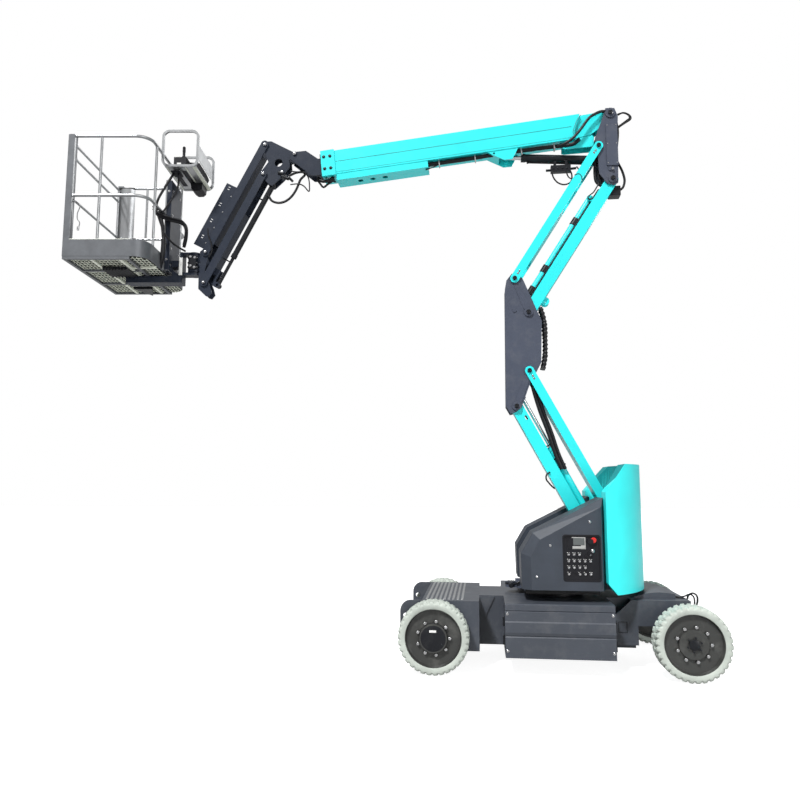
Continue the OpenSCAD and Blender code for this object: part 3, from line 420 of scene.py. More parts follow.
class Shape:
    """Gathers simple forms into one mesh, each placed through the shape's frame."""

    def __init__(self, place=None):
        self.bm = bmesh.new()
        self.place = place or Matrix()

    def add(self, verts, faces):
        made = [self.bm.verts.new(self.place @ Vector(v)) for v in verts]
        for face in faces:
            self.bm.faces.new([made[i] for i in face])

    def block(self, low, high):
        x, y, z = zip(low, high)
        corners = [(x[i], y[j], z[k]) for i in (0, 1) for j in (0, 1) for k in (0, 1)]
        faces = [(0, 1, 3, 2), (4, 6, 7, 5), (0, 4, 5, 1), (2, 3, 7, 6), (0, 2, 6, 4), (1, 5, 7, 3)]
        self.add(corners, faces)

    def loft(self, loops, capped=False, closed=False):
        """Joins each loop of points to the next, and the last to the first when closed."""
        verts, rings = [], []
        for loop in loops:
            rings.append(range(len(verts), len(verts) + len(loop)))
            verts += loop
        faces = [tuple(rings[0]), tuple(rings[-1])] if capped else []
        for a, b in zip(rings, rings[1:] + rings[:1] if closed else rings[1:]):
            count = max(len(a), len(b))
            for k in range(count):
                m = (k + 1) % count
                corners = (a[k % len(a)], a[m % len(a)], b[m % len(b)], b[k % len(b)])
                faces.append(tuple(dict.fromkeys(corners)))
        self.add(verts, faces)

    def prism(self, outline, a, b, axis="y"):
        """Outline in the x-z plane drawn from y = a to b, or in the x-y plane along z."""
        ends = [[(u, v, t) if axis == "z" else (u, t, v) for u, v in outline] for t in (a, b)]
        self.loft(ends, capped=True)

    def ring(self, outer, inner, a, b):
        """Flat frame between two outlines with as many points, from y = a to b."""
        self.loft([at_y(a, *outer), at_y(a, *inner), at_y(b, *inner), at_y(b, *outer)], closed=True)

    def lathe(self, profile, origin, axis, segments=32):
        """profile: (radius, distance along the axis). A radius of 0 closes an end."""
        turn = Vector(axis).normalized().to_track_quat("Z", "Y").to_matrix()
        self.loft([[Vector(origin) + turn @ Vector((x, y, along)) for x, y in circle(radius, segments)]
                   for radius, along in profile])

    def turned(self, profile, origin, axis, segments=32):
        """A lathe form with flat ends."""
        self.lathe([(0, profile[0][1]), *profile, (0, profile[-1][1])], origin, axis, segments)

    def rod(self, a, b, radius):
        along = Vector(b) - Vector(a)
        self.turned([(radius, 0), (radius, along.length)], a, along, 16)

    def bolt(self, at, axis, r=0.01, h=0.008, washer=True):
        """Hexagon head, on a washer or straight on the face."""
        if washer:
            self.turned([(r * 1.45, 0), (r * 1.45, h * 0.25)], at, axis, 16)
        base = h * 0.2 if washer else 0.0
        self.turned([(r, base), (r, h * 0.9), (r * 0.86, h)], at, axis, 6)

    def screw(self, at, axis, r, h):
        """Low round head with a socket."""
        self.turned([(r, 0), (r, h * 0.5), (r * 0.72, h), (r * 0.4, h), (r * 0.34, h * 0.4)], at, axis, 14)

    def on_sides(self, form, y, places, *sizes):
        """The form at each place (x, z) on both sides, y out from the middle plane."""
        for side in SIDES:
            for x, z in places:
                form(self, (x, side * y, z), (0, side, 0), *sizes)

    def bolt_circle(self, centre, y, out, radius, count, start, r, h):
        """Bolt heads round a hub, the first one start degrees from +x."""
        for k in range(count):
            t = math.radians(start + 360 / count * k)
            at = (centre.x + radius * math.cos(t), y, centre.z + radius * math.sin(t))
            self.bolt(at, (0, out, 0), r, h, False)

    def tube(self, points, radius, sides=12):
        """Round hose along a smooth line. radius is a number or gives one for the share of the length."""
        line = smooth_line(points)
        last = len(line) - 1
        up = Vector((0.13, 0.97, 0.21)).normalized()
        loops = []
        for i, p in enumerate(line):
            ahead = (line[min(i + 1, last)] - line[max(i - 1, 0)]).normalized()
            side = ahead.cross(up).normalized()
            up = side.cross(ahead).normalized()
            r = radius(i / last) if callable(radius) else radius
            loops.append([p + x * side + y * up for x, y in circle(r, sides)])
        self.loft(loops, capped=True)

    def done(self, name, material, body, slot="dark_steel", **edges):
        return add_piece(name, self.bm, material, body, slot, **edges)


def hoses(name, body, *runs, place=None):
    """Several hoses in one mesh; each run is a radius and a route."""
    bundle = Shape(place)
    for radius, route in runs:
        bundle.tube(route, radius)
    bundle.done(name, "hose", body)


# Places taken from the frame

def pin(joint):
    return Vector(JOINTS[joint]["pos_m"])


def span_frame(a, b):
    """Frame with +x from a to b in the plane of the boom, +y across it."""
    along = (b - a).normalized()
    across = Vector((0, 1, 0))
    turn = Matrix((along, across, along.cross(across))).transposed()
    return Matrix.Translation(a) @ turn.to_4x4()


LOWER_ARM_FOOT = pin("tower_lift")
LOWER_ARM_TOP = pin("mid_link_pivot")
LOWER_LINK_FOOT = pin("lower_link_pivot")
LOWER_LINK_TOP = LOWER_ARM_TOP + LOWER_LINK_FOOT - LOWER_ARM_FOOT
UPPER_ARM_FOOT = pin("upper_arm_pivot")
UPPER_ARM_TOP = pin("tower_head_pivot")
UPPER_LINK_FOOT = pin("upper_link_pivot")
UPPER_LINK_TOP = UPPER_ARM_TOP + UPPER_LINK_FOOT - UPPER_ARM_FOOT
BOOM_PIN = pin("boom_lift")
BOOM_TIP = pin("jib_level")
JIB_ARM_TOP = pin("jib_lift")
JIB_ARM_FOOT = pin("jib_end_pivot")
JIB_LINK_TOP = pin("jib_link_pivot")
JIB_LINK_FOOT = JIB_ARM_FOOT + JIB_LINK_TOP - JIB_ARM_TOP
# Along the boom, +x runs back from the collar to the pivot and +z is the boom's top
BOOM = span_frame(BOOM_PIN, BOOM_PIN - Vector(JOINTS["fly_extend"]["axis"]))
PLATFORM_TURN = 6.5
PLATFORM = (Matrix.Translation((pin("platform_rotate").x, 0, 0))
            @ Matrix.Rotation(math.radians(PLATFORM_TURN), 4, "Z"))

# Wheels

TYRE_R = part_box("tyre_drive_near")[1].z / 2
TYRE_W = 0.175
RIM_R = 0.221
LUGS = 34
STEPS_PER_LUG = 8
LUG_DEPTH = 0.011
LUG_GAP = 0.34
LUG_SLANT = 5.0


def outer_side(node):
    """Centre of a wheel piece, the side that it faces and the y of its outer face."""
    low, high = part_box(node)
    centre = (low + high) / 2
    out = 1 if centre.y > 0 else -1
    return centre, out, (high if out > 0 else low).y


def tread_tyre(tag):
    """Pale solid tyre with shoulder lugs that alternate across the centre."""
    centre, out, _ = outer_side(f"tyre_{tag}")
    half = TYRE_W / 2
    # From the bead to the middle: distance across, radius, share of the lug depth
    section = [(half - 0.006, RIM_R, 0), (half - 0.001, RIM_R + 0.01, 0), (half, RIM_R + 0.028, 0),
        (half, TYRE_R - 0.024, 0.15), (half - 0.003, TYRE_R - 0.012, 1), (half - 0.012, TYRE_R - 0.002, 1),
        (half - 0.03, TYRE_R, 1), (0.018, TYRE_R, 1), (0.008, TYRE_R, 0)]
    rows = [(-across, radius, share, 0.0) for across, radius, share in section]
    rows += [(across, radius, share, 0.5) for across, radius, share in reversed(section)]
    count = LUGS * STEPS_PER_LUG
    loops = []
    for across, radius, share, shift in rows:
        loop = []
        for k in range(count):
            phase = (k / STEPS_PER_LUG + shift + abs(across) * LUG_SLANT) % 1.0
            r = radius - (LUG_DEPTH * share if phase < LUG_GAP else 0.0)
            t = 2 * math.pi * k / count
            loop.append((centre.x + r * math.cos(t), centre.y + across * out, centre.z + r * math.sin(t)))
        loops.append(loop)
    tread = Shape()
    tread.loft(loops, closed=True)
    piece = tread.done(f"tread_{tag}", "tyre", f"wheel_{tag}", "tyre_rubber", angle=40.0)
    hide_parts(f"tyre_{tag}")


def hub_details(tag):
    centre, out, face = outer_side(f"rim_{tag}")
    tyre_face = outer_side(f"tyre_{tag}")[2]
    body = f"wheel_{tag}"
    hub = Shape()
    if tag.startswith("drive"):
        hub.turned([(0.113, 0), (0.113, 0.018), (0.106, 0.026), (0.106, 0.04), (0.094, 0.0445)],
            (centre.x, tyre_face - out * 0.045, centre.z), (0, out, 0), 48)
        hub.bolt_circle(centre, face - out * 0.001, out, 0.078, 6, 30, 0.008, 0.003)
        label = Shape()
        label.block((centre.x - 0.03, tyre_face - out * 0.001, centre.z + 0.046),
            (centre.x + 0.024, tyre_face - out * 0.0002, centre.z + 0.064))
        label.done(f"hub_label_{tag}", "white", body, "panel_plastic")
    else:
        hub.turned([(0.04, 0), (0.04, 0.004), (0.036, 0.006)], (centre.x, face, centre.z), (0, out, 0))
        hub.bolt_circle(centre, face, out, 0.052, 6, 20, 0.009, 0.007)
    hub.done(f"hub_parts_{tag}", "black_paint", body, bevel=0.0006)
    nuts = Shape()
    nuts.bolt_circle(centre, tyre_face - out * 0.0265, out, 0.127, 9, 0, 0.0125, 0.011)
    nuts.done(f"hub_nuts_{tag}", "steel", body)


for tag in WHEELS:
    tread_tyre(tag)
    hub_details(tag)

# Chassis

BOX_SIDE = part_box("battery_boxes")[1].y
STEP_Z = 0.537
HATCH_X0, HATCH_X1, HATCH_Z0, HATCH_Z1 = 0.491, 0.553, 0.294, 0.372
HATCH_LIP = 0.004


def box_screws():
    screws = Shape()
    places = [(x, z) for x in (-0.4, 0.4) for z in (0.19, 0.468)]
    screws.on_sides(Shape.screw, BOX_SIDE - 0.0085, places, 0.011, 0.005)
    screws.done("box_screws", "steel", "chassis")


def step_ribs():
    """Ribbed tread plate on the step between the drive plates."""
    ribs = Shape()
    top = STEP_Z + 0.004
    for k in range(9):
        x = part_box("chassis_frame")[0].x + 0.2 + 0.036 * k
        ribs.prism([(x, STEP_Z), (x + 0.02, STEP_Z), (x + 0.016, top), (x + 0.004, top)], -0.5, 0.5)
    ribs.done("step_ribs", "galvanised", "chassis", "platform_steel", bevel=0.0008)


def box_latches():
    """Latches and hinges at the ends of the battery boxes, bolts of the drive plates and the hatch's lip."""
    trim = Shape()
    for side in SIDES:
        for z in (0.22, 0.36):
            for x, inset, bottom, top in ((-0.434, 0.1, z, z + 0.07), (0.416, 0.08, z - 0.03, z + 0.05)):
                y = side * (BOX_SIDE - inset)
                trim.block((x, y - 0.012, bottom), (x + 0.018, y + 0.012, top))
        for k in range(4):
            trim.bolt((-0.639, side * (0.33 + 0.055 * k), 0.25 + 0.07 * (k % 2)), (1, 0, 0), 0.01, 0.009)
        left, right = HATCH_X0 - HATCH_LIP, HATCH_X1 + HATCH_LIP
        bottom, top = HATCH_Z0 - HATCH_LIP, HATCH_Z1 + HATCH_LIP
        for x0, z0, x1, z1 in ((left, bottom, HATCH_X0, top), (HATCH_X1, bottom, right, top),
                               (HATCH_X0, bottom, HATCH_X1, HATCH_Z0), (HATCH_X0, HATCH_Z1, HATCH_X1, top)):
            trim.block((x0, side * 0.397, z0), (x1, side * 0.4015, z1))
    trim.done("box_latches", "black_paint", "chassis", bevel=0.0015)


def steering_hoses():
    hoses("steer_hoses", "chassis",
        (0.0075, [(0.76, -0.225, 0.552), (0.86, -0.235, 0.556), (0.96, -0.25, 0.556), (1.02, -0.262, 0.548),
            (1.058, -0.27, 0.54), (1.066, -0.285, 0.572), (1.096, -0.3, 0.594), (1.126, -0.315, 0.574),
            (1.12, -0.33, 0.52), (1.09, -0.34, 0.47)]),
        (0.006, [(0.76, -0.18, 0.556), (0.88, -0.205, 0.56), (0.98, -0.24, 0.556), (1.04, -0.262, 0.562),
            (1.074, -0.28, 0.582), (1.104, -0.296, 0.566), (1.104, -0.315, 0.515), (1.08, -0.33, 0.46)]))


box_screws()
step_ribs()
box_latches()
steering_hoses()

# Turntable

PANEL_FACE = -0.593


def cowl_details():
    screws = Shape()
    places = ((-0.05, 0.985), (0.262, 1.171), (-0.16, 0.74))
    screws.on_sides(Shape.screw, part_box("side_cowls")[1].y, places, 0.01, 0.004)
    screws.done("cowl_screws", "steel", "turntable")
    trim = Shape()
    for side in SIDES:
        # Rubber edge along the rear of the cowl, beside the counterweight
        trim.block((0.3735, side * 0.21, 0.642), (0.379, side * 0.53, 1.355))
        # Skirt under the cowl
        trim.block((-0.245, side * 0.5105, 0.6), (0.335, side * 0.5155, 0.636))
    trim.done("cowl_trim", "rubber", "turntable", "panel_plastic")


def panel_housing():
    """Frame, screen and bezel of the ground control panel."""
    rim = Shape()
    rim.ring(rounded_rect(0.044, 0.706, 0.296, 0.366, 0.022), rounded_rect(0.056, 0.72, 0.272, 0.338, 0.014),
        -0.6005, -0.59)
    rim.done("panel_frame", "black_plastic", "turntable", "panel_plastic", bevel=0.001)
    screen = Shape()
    screen.block((0.128, -0.5985, 0.99), (0.216, -0.5925, 1.045))
    screen.done("panel_screen", "screen", "turntable", "panel_plastic", bevel=0.002)
    bezel = Shape()
    bezel.block((0.118, -0.5965, 0.958), (0.224, -0.5925, 1.052))
    bezel.block((0.122, -0.599, 0.962), (0.22, -0.596, 0.982))
    bezel.done("panel_bezel", "grey_plastic", "turntable", "panel_plastic", bevel=0.002)


def panel_controls():
    """Stop button, rows of toggles with their marks, and the key switch."""
    outward = (0, -1, 0)
    red = Shape()
    red.lathe([(0, 0), (0.012, 0), (0.012, 0.008), (0.021, 0.01), (0.022, 0.017), (0.018, 0.021),
        (0, 0.0215)], (0.284, PANEL_FACE, 1.03), outward, 28)
    red.done("stop_button", "red", "turntable", "panel_plastic")
    toggles = Shape()
    marks = Shape()
    empty = ((0, 3), (3, 1), (2, 4))
    for row, z in enumerate((0.915, 0.865, 0.815, 0.765)):
        for col in range(5):
            if (row, col) in empty:
                continue
            x = 0.09 + 0.042 * col
            toggles.lathe([(0, 0), (0.009, 0), (0.009, 0.002), (0.0045, 0.003), (0.0035, 0.015), (0, 0.016)],
                (x, PANEL_FACE, z), outward, 12)
            for left, right, top in ((-0.012, -0.004, 0.017), (0.003, 0.012, 0.0155)):
                marks.block((x + left, PANEL_FACE - 0.0006, z + 0.013), (x + right, PANEL_FACE, z + top))
    toggles.turned([(0.014, 0), (0.014, 0.006), (0.01, 0.009)], (0.277, PANEL_FACE, 0.945), outward, 20)
    toggles.done("panel_toggles", "steel", "turntable", "panel_plastic")
    marks.done("panel_marks", "white", "turntable", "panel_plastic")


def slew_motor():
    """Gearmotor ahead of the turntable, with its bolts and hose."""
    motor = Shape()
    motor.lathe([(0, 0), (0.05, 0), (0.05, 0.018), (0.04, 0.024), (0, 0.026)], (-0.345, -0.06, 0.612),
        (0, 0, 1))
    motor.turned([(0.022, 0), (0.022, 0.05), (0.016, 0.058)], (-0.345, -0.1, 0.612), (0, -1, 0), 24)
    for k in range(4):
        motor.bolt((-0.366 + 0.014 * k, -0.04, 0.636), (0, 0, 1), 0.005, 0.005, False)
    motor.tube([(-0.33, -0.13, 0.618), (-0.3, -0.158, 0.63), (-0.262, -0.15, 0.65), (-0.225, -0.12, 0.668)],
        0.009)
    motor.done("slew_motor", "black_paint", "turntable", bevel=0.001)


cowl_details()
panel_housing()
panel_controls()
slew_motor()

# Riser

PIN_R = 0.02
ARM_PIN_REACH = 0.104
LINK_PIN_REACH = 0.1125


def pin_cap(shape, at, axis):
    """End of a pin with two bolts in its keeper."""
    shape.turned([(PIN_R, 0), (PIN_R, 0.003), (PIN_R * 0.9, 0.005)], at, axis, 28)
    for dx in (-0.5, 0.5):
        spot = Vector(at) + Vector((dx * PIN_R, axis[1] * 0.004, -0.5 * PIN_R))
        shape.bolt(spot, axis, 0.006, 0.005, False)


def pin_caps(body, arm_pins, link_pins=()):
    caps = Shape()
    for reach, pins in ((ARM_PIN_REACH, arm_pins), (LINK_PIN_REACH, link_pins)):
        caps.on_sides(pin_cap, reach, [(at.x, at.z) for at in pins])
    caps.done(f"pin_caps_{body}", "black_paint", body)


def link_bolts(name, a, b, body):
    """Two bolts near each end of the link's bars."""
    bolts = Shape(span_frame(a, b))
    length = (b - a).length
    places = [(x, 0.0) for x in (0.055, 0.08, length - 0.08, length - 0.055)]
    bolts.on_sides(Shape.bolt, 0.104, places, 0.007, 0.006)
    bolts.done(name, "steel", body)


def mid_link_hoses():
    """Corrugated hose bundle behind the mid link."""
    bundle = Shape()
    back = LOWER_ARM_TOP.x + 0.262
    route = ((-0.02, 0.34), (0.002, 0.46), (0.006, 0.62), (0, 0.78), (-0.03, 0.9))
    for y in (-0.046, -0.002, 0.044):
        spots = [(back + dx, y, LOWER_ARM_TOP.z + dz) for dx, dz in route]
        bundle.tube(spots, ribbed(0.019, 0.0035, 62))
    bundle.done("mid_hoses", "hose", "mid_link", angle=60)


def lower_arm_hoses():
    """Bundle that comes down out of the mid link and follows the lower arm's cylinder."""
    route = ((-0.15, 2.52), (-0.118, 2.33), (-0.062, 2.12), (0.004, 1.93), (0.06, 1.745), (0.118, 1.6))
    lanes = ((0.0, -0.05, 0.017), (0.03, -0.046, 0.015), (0.02, 0.046, 0.016))
    runs = [(r, [(x + dx, y, z) for x, z in route]) for dx, y, r in lanes]
    hoses("lower_arm_hoses", "lower_arm", *runs)
    hoses("lower_arm_loop", "lower_arm",
        (0.007, at_y(-0.076, (0.01, 1.575), (-0.02, 1.548), (-0.022, 1.51), (-0.004, 1.484), (0.02, 1.455),
            (0.049, 1.43))))
    straps = Shape(span_frame(LOWER_ARM_TOP, LOWER_ARM_FOOT))
    for x in (0.43, 0.56, 0.64):
        straps.block((x, -0.04, 0.054), (x + 0.012, 0.04, 0.128))
    straps.done("lower_arm_straps", "black_paint", "lower_arm", bevel=0.001)


def upper_arm_fittings():
    """Bands round the upper cylinder, the line along the arm and the short strap on the link."""
    along = span_frame(UPPER_ARM_FOOT, UPPER_ARM_TOP)
    bands = Shape(along)
    for x in (0.92, 0.4, 0.17):
        bands.lathe([(0.0285, 0), (0.034, 0), (0.034, 0.072), (0.0285, 0.072)], (x, 0, 0.088), (1, 0, 0), 28)
    bands.done("upper_cylinder_bands", "black_paint", "upper_arm")
    route = at_y(-0.03, (1.32, 0.061), (1.1, 0.063), (0.7, 0.063), (0.3, 0.063), (0.12, 0.06))
    hoses("upper_arm_hoses", "upper_arm", (0.007, route), place=along)
    notch = Shape()
    notch.tube(at_y(-0.1045, (0.297, 4.269), (0.333, 4.281), (0.359, 4.256), (0.362, 4.208)), 0.0035, 8)
    notch.done("upper_link_notch", "rubber", "upper_link")


def head_bolts():
    """Cover screws, bosses and the keeper of the boom's pin."""
    bolts = Shape()
    bolts.on_sides(Shape.screw, 0.096, [(x, z) for x in (0.604, 0.682) for z in (4.374, 4.56, 4.738)], 0.006,
        0.003)
    for z in (4.235, 4.317):
        for side in SIDES:
            bolts.turned([(0.013, 0), (0.011, 0.009)], (0.64, side * 0.096, z), (0, side, 0), 24)
    bolts.on_sides(Shape.bolt, 0.1015, [(0.652, 4.852)], 0.008, 0.006)
    bolts.done("head_bolts", "steel", "tower_head")


def head_hoses():
    """Hoses that loop over the tower head and down its front and back, and the valve under it."""
    hoses("head_hoses", "tower_head",
        (0.012, [(0.7, -0.03, 4.8), (0.712, -0.02, 4.7), (0.7, 0.0, 4.56), (0.69, 0.01, 4.47)]),
        (0.008, at_y(-0.01, (0.722, 4.875), (0.761, 4.893), (0.797, 4.885), (0.829, 4.86), (0.836, 4.834),
            (0.817, 4.813), (0.773, 4.787), (0.717, 4.746), (0.7, 4.7))),
        (0.007, at_y(-0.035, (0.712, 4.868), (0.758, 4.879), (0.796, 4.866), (0.817, 4.843), (0.815, 4.821),
            (0.793, 4.804), (0.748, 4.771), (0.709, 4.739), (0.698, 4.69))),
        (0.011, at_y(0.0, (0.695, 4.44), (0.716, 4.392), (0.74, 4.336), (0.757, 4.27), (0.758, 4.222),
            (0.741, 4.172), (0.704, 4.143))),
        (0.013, at_y(-0.045, (0.56, 4.52), (0.51, 4.47), (0.492, 4.39), (0.487, 4.3), (0.497, 4.222),
            (0.545, 4.178), (0.6, 4.17))),
        (0.012, at_y(-0.02, (0.59, 4.5), (0.556, 4.43), (0.53, 4.35), (0.524, 4.27), (0.556, 4.205),
            (0.61, 4.16))),
        (0.01, at_y(0.03, (0.6, 4.46), (0.57, 4.38), (0.556, 4.3), (0.56, 4.23), (0.6, 4.15))),
        (0.006, at_y(-0.06, (0.52, 4.2), (0.47, 4.119), (0.44, 4.095), (0.416, 4.064), (0.44, 4.05),
            (0.48, 4.072), (0.493, 4.1), (0.52, 4.14))))
    valve = Shape()
    valve.block((0.612, -0.05, 4.083), (0.712, 0.05, 4.174))
    valve.block((0.6, -0.058, 4.12), (0.622, -0.02, 4.15))
    valve.done("head_valve", "black_paint", "tower_head", bevel=0.004)


pin_caps("mid_link", (LOWER_ARM_TOP, UPPER_ARM_FOOT), (LOWER_LINK_TOP, UPPER_LINK_FOOT))
pin_caps("tower_head", (UPPER_ARM_TOP, BOOM_PIN), (UPPER_LINK_TOP,))
pin_caps("turntable", (LOWER_ARM_FOOT,))
link_bolts("lower_link_bolts", LOWER_LINK_FOOT, LOWER_LINK_TOP, "lower_link")
link_bolts("upper_link_bolts", UPPER_LINK_FOOT, UPPER_LINK_TOP, "upper_link")
mid_link_hoses()
lower_arm_hoses()
upper_arm_fittings()
head_bolts()
head_hoses()

# Boom and its lift cylinder

COLLAR_BOLTS_X = (-2.695, -2.635)


def boom_trim():
    """Joints between the boom's plates, the rear plate's edge and the skirt of the cylinder's fork."""
    seams = Shape(BOOM)
    skirt = Shape(BOOM)
    for side in SIDES:
        seams.block((-2.59, side * 0.0895, -0.0805), (-0.362, side * 0.0912, -0.077))
        seams.block((-2.59, side * 0.0895, -0.1855), (-0.352, side * 0.0912, -0.1835))
        seams.tube(at_y(side * 0.09, (-0.264, 0.02), (-0.3, -0.018), (-0.337, -0.088), (-0.354, -0.136),
            (-0.34, -0.176)), 0.0028, 8)
        skirt.prism([(-0.455, -0.2), (-0.462, -0.262), (-0.44, -0.272), (-0.196, -0.286), (-0.18, -0.27),
            (-0.166, -0.2), (-0.18, -0.176), (-0.3, -0.186)], side * 0.0505, side * 0.06)
    seams.done("boom_seams", "seam", "main_boom")
    skirt.done("boom_fork_skirt", "arm_paint", "main_boom", "arm_paint", bevel=0.001)


def collar_bolts():
    bolts = Shape(BOOM)
    bolts.on_sides(Shape.bolt, 0.1, [(x, z) for x in COLLAR_BOLTS_X for z in (-0.142, -0.022)], 0.011, 0.007)
    for x in COLLAR_BOLTS_X:
        for y in (-0.055, 0.055):
            bolts.bolt((x, y, -0.212), (0, 0, -1), 0.01, 0.006)
            bolts.bolt((x, y, 0.043), (0, 0, 1), 0.01, 0.006)
    bolts.done("collar_bolts", "black_paint", "main_boom")


def boom_hoses():
    hoses("underboom_hoses", "main_boom",
        (0.018, [(-1.83, -0.046, -0.222), (-1.6, -0.046, -0.226), (-1.25, -0.046, -0.224),
            (-0.86, -0.046, -0.222), (-0.56, -0.048, -0.228), (-0.38, -0.062, -0.24),
            (-0.3, -0.08, -0.205)]),
        (0.012, [(-1.83, -0.01, -0.216), (-1.5, -0.01, -0.217), (-1.2, -0.012, -0.217)]), place=BOOM)
    clamps = Shape(BOOM)
    for x in (-1.607, -1.2685, -0.8374, -0.5353):
        clamps.block((x - 0.006, -0.07, -0.268), (x + 0.006, -0.022, -0.2))
    clamps.done("hose_clamps", "steel", "main_boom", bevel=0.002)
    hoses("boom_rear_hose", "main_boom",
        (0.013, [(0.16, -0.07, 4.566), (0.215, -0.108, 4.572), (0.274, -0.116, 4.606), (0.312, -0.116, 4.64),
            (0.365, -0.116, 4.703), (0.44, -0.114, 4.803), (0.5, -0.104, 4.848), (0.561, -0.086, 4.878),
            (0.624, -0.06, 4.885), (0.668, -0.04, 4.874), (0.697, -0.03, 4.844), (0.702, -0.03, 4.807)]))
    hook = Shape()
    hook.tube(at_y(-0.05, (-1.068, 4.42), (-1.02, 4.436), (-0.967, 4.457), (-0.919, 4.483)), 0.007, 8)
    hook.done("hose_hook", "black_paint", "main_boom")


def holding_valve():
    """Valve block on the boom's lift cylinder, with its ports, bolts and hoses."""
    valve = Shape()
    valve.block((0.09, -0.08, 4.322), (0.27, -0.03, 4.386))
    for x in (0.12, 0.222):
        valve.block((x, -0.052, 4.38), (x + 0.022, -0.02, 4.44))
    valve.rod((0.048, -0.046, 4.352), (0.092, -0.046, 4.352), 0.011)
    valve.rod((0.268, -0.046, 4.358), (0.322, -0.046, 4.362), 0.011)
    for x in (0.115, 0.155, 0.195, 0.235):
        valve.bolt((x, -0.08, 4.354), (0, -1, 0), 0.007, 0.006)
    valve.done("holding_valve", "black_paint", "boom_cylinder", bevel=0.002)
    hoses("holding_valve_hoses", "boom_cylinder",
        (0.007, at_y(-0.077, (0.102, 4.33), (0.103, 4.295), (0.116, 4.258), (0.15, 4.216), (0.201, 4.195),
            (0.25, 4.206), (0.274, 4.236), (0.276, 4.29), (0.262, 4.33))),
        (0.006, at_y(-0.077, (0.224, 4.325), (0.236, 4.29), (0.25, 4.262), (0.284, 4.246), (0.33, 4.27),
            (0.345, 4.32), (0.322, 4.362))))


boom_trim()
collar_bolts()
boom_hoses()
holding_valve()

# Jib

def jib_fasteners():
    """Pin bolts, the link's slotted plate with its cable, and the arm's straps."""
    top = Shape()
    top.on_sides(Shape.bolt, 0.0725, [(JIB_LINK_TOP.x + 0.004, JIB_LINK_TOP.z - 0.004),
        (JIB_ARM_TOP.x, JIB_ARM_TOP.z)], 0.01, 0.008)
    top.on_sides(Shape.bolt, 0.0865, [(BOOM_TIP.x, BOOM_TIP.z)], 0.01, 0.008)
    top.on_sides(Shape.bolt, 0.0585, [(-2.465, 4.471)], 0.011, 0.008)
    top.done("jib_pin_bolts", "steel", "jib_knuckle")
    foot = Shape()
    foot.on_sides(Shape.bolt, 0.0725, [(at.x, at.z) for at in (JIB_LINK_FOOT, JIB_ARM_FOOT)], 0.01, 0.008)
    foot.done("jib_end_bolts", "steel", "jib_end")
    plate = Shape(span_frame(JIB_LINK_TOP, JIB_LINK_FOOT))
    for x in (0.6, 0.775, 0.95, 1.12):
        plate.screw((x, -0.03, -0.06), (0, -1, 0), 0.008, 0.004)
    plate.done("jib_plate_screws", "steel", "jib_link")
    hoses("jib_plate_cable", "jib_link",
        (0.006, at_y(-0.078, (-3.181, 3.926), (-3.175, 3.858), (-3.147, 3.785), (-3.133, 3.7),
            (-3.158, 3.64))))
    straps = Shape(span_frame(JIB_ARM_TOP, JIB_ARM_FOOT))
    for x in (0.215, 0.9, 1.09):
        straps.block((x, -0.012, 0.036), (x + 0.01, 0.012, 0.13))
    straps.done("jib_straps", "black_paint", "jib_arm", bevel=0.001)


def jib_hoses():
    """Hose loop at the knuckle with its fittings, and the hoses at the boom's collar."""
    hoses("jib_loop", "jib_knuckle",
        (0.0115, at_y(-0.03, (-2.4, 4.44), (-2.33, 4.468), (-2.262, 4.47), (-2.243, 4.44), (-2.285, 4.395),
            (-2.32, 4.307), (-2.368, 4.232), (-2.431, 4.184), (-2.501, 4.172), (-2.565, 4.196),
            (-2.6, 4.25))),
        (0.006, at_y(-0.054, (-2.378, 4.34), (-2.302, 4.343), (-2.246, 4.319), (-2.195, 4.262),
            (-2.188, 4.3), (-2.198, 4.39), (-2.235, 4.45), (-2.3, 4.462), (-2.38, 4.476))))
    fittings = Shape()
    fittings.rod((-2.47, -0.05, 4.43), (-2.395, -0.05, 4.4), 0.016)
    fittings.rod((-2.395, -0.05, 4.415), (-2.355, -0.05, 4.372), 0.012)
    fittings.block((-2.462, -0.064, 4.404), (-2.424, -0.03, 4.44))
    fittings.rod((-2.5, -0.048, 4.47), (-2.452, -0.048, 4.452), 0.018)
    fittings.done("jib_fittings", "black_paint", "jib_knuckle", bevel=0.002)
    hoses("collar_hoses", "main_boom",
        (0.016, [(-2.78, -0.03, -0.19), (-2.745, -0.04, -0.232), (-2.69, -0.045, -0.24),
            (-2.62, -0.045, -0.224)]),
        (0.01, [(-2.62, -0.02, -0.226), (-2.69, -0.02, -0.262), (-2.735, -0.026, -0.29),
            (-2.76, -0.03, -0.258), (-2.79, -0.03, -0.205)]), place=BOOM)


jib_fasteners()
jib_hoses()

# Platform

FLOOR_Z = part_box("platform_floor")[0].z
FLOOR_X0, FLOOR_X1, FLOOR_Y, CORNER = -1.012, -0.262, 0.59, 0.15
GRATING_TOP = FLOOR_Z + 0.0247
COLUMN_FACE = -0.2035


def corner_reach(inside, inset):
    """How far past a corner's centre its arc reaches, at a distance inside the corner."""
    return math.sqrt(max(0.0, (CORNER - inset) ** 2 - inside ** 2))


def grating_shadow():
    """Dark sheet under the grating, in place of what is seen through it."""
    sheet = Shape(PLATFORM)
    gap = 0.006
    x, y, r = FLOOR_X1 - CORNER, FLOOR_Y - CORNER, CORNER - gap
    back = FLOOR_X0 + gap
    outline = [(back, gap - FLOOR_Y), *arc(x, -y, r, -90, 0), *arc(x, y, r, 0, 90), (back, FLOOR_Y - gap)]
    sheet.prism(outline, FLOOR_Z + 0.0245, FLOOR_Z + 0.0262, "z")
    sheet.done("grating_shadow", "grating_shadow", "platform", "platform_steel")


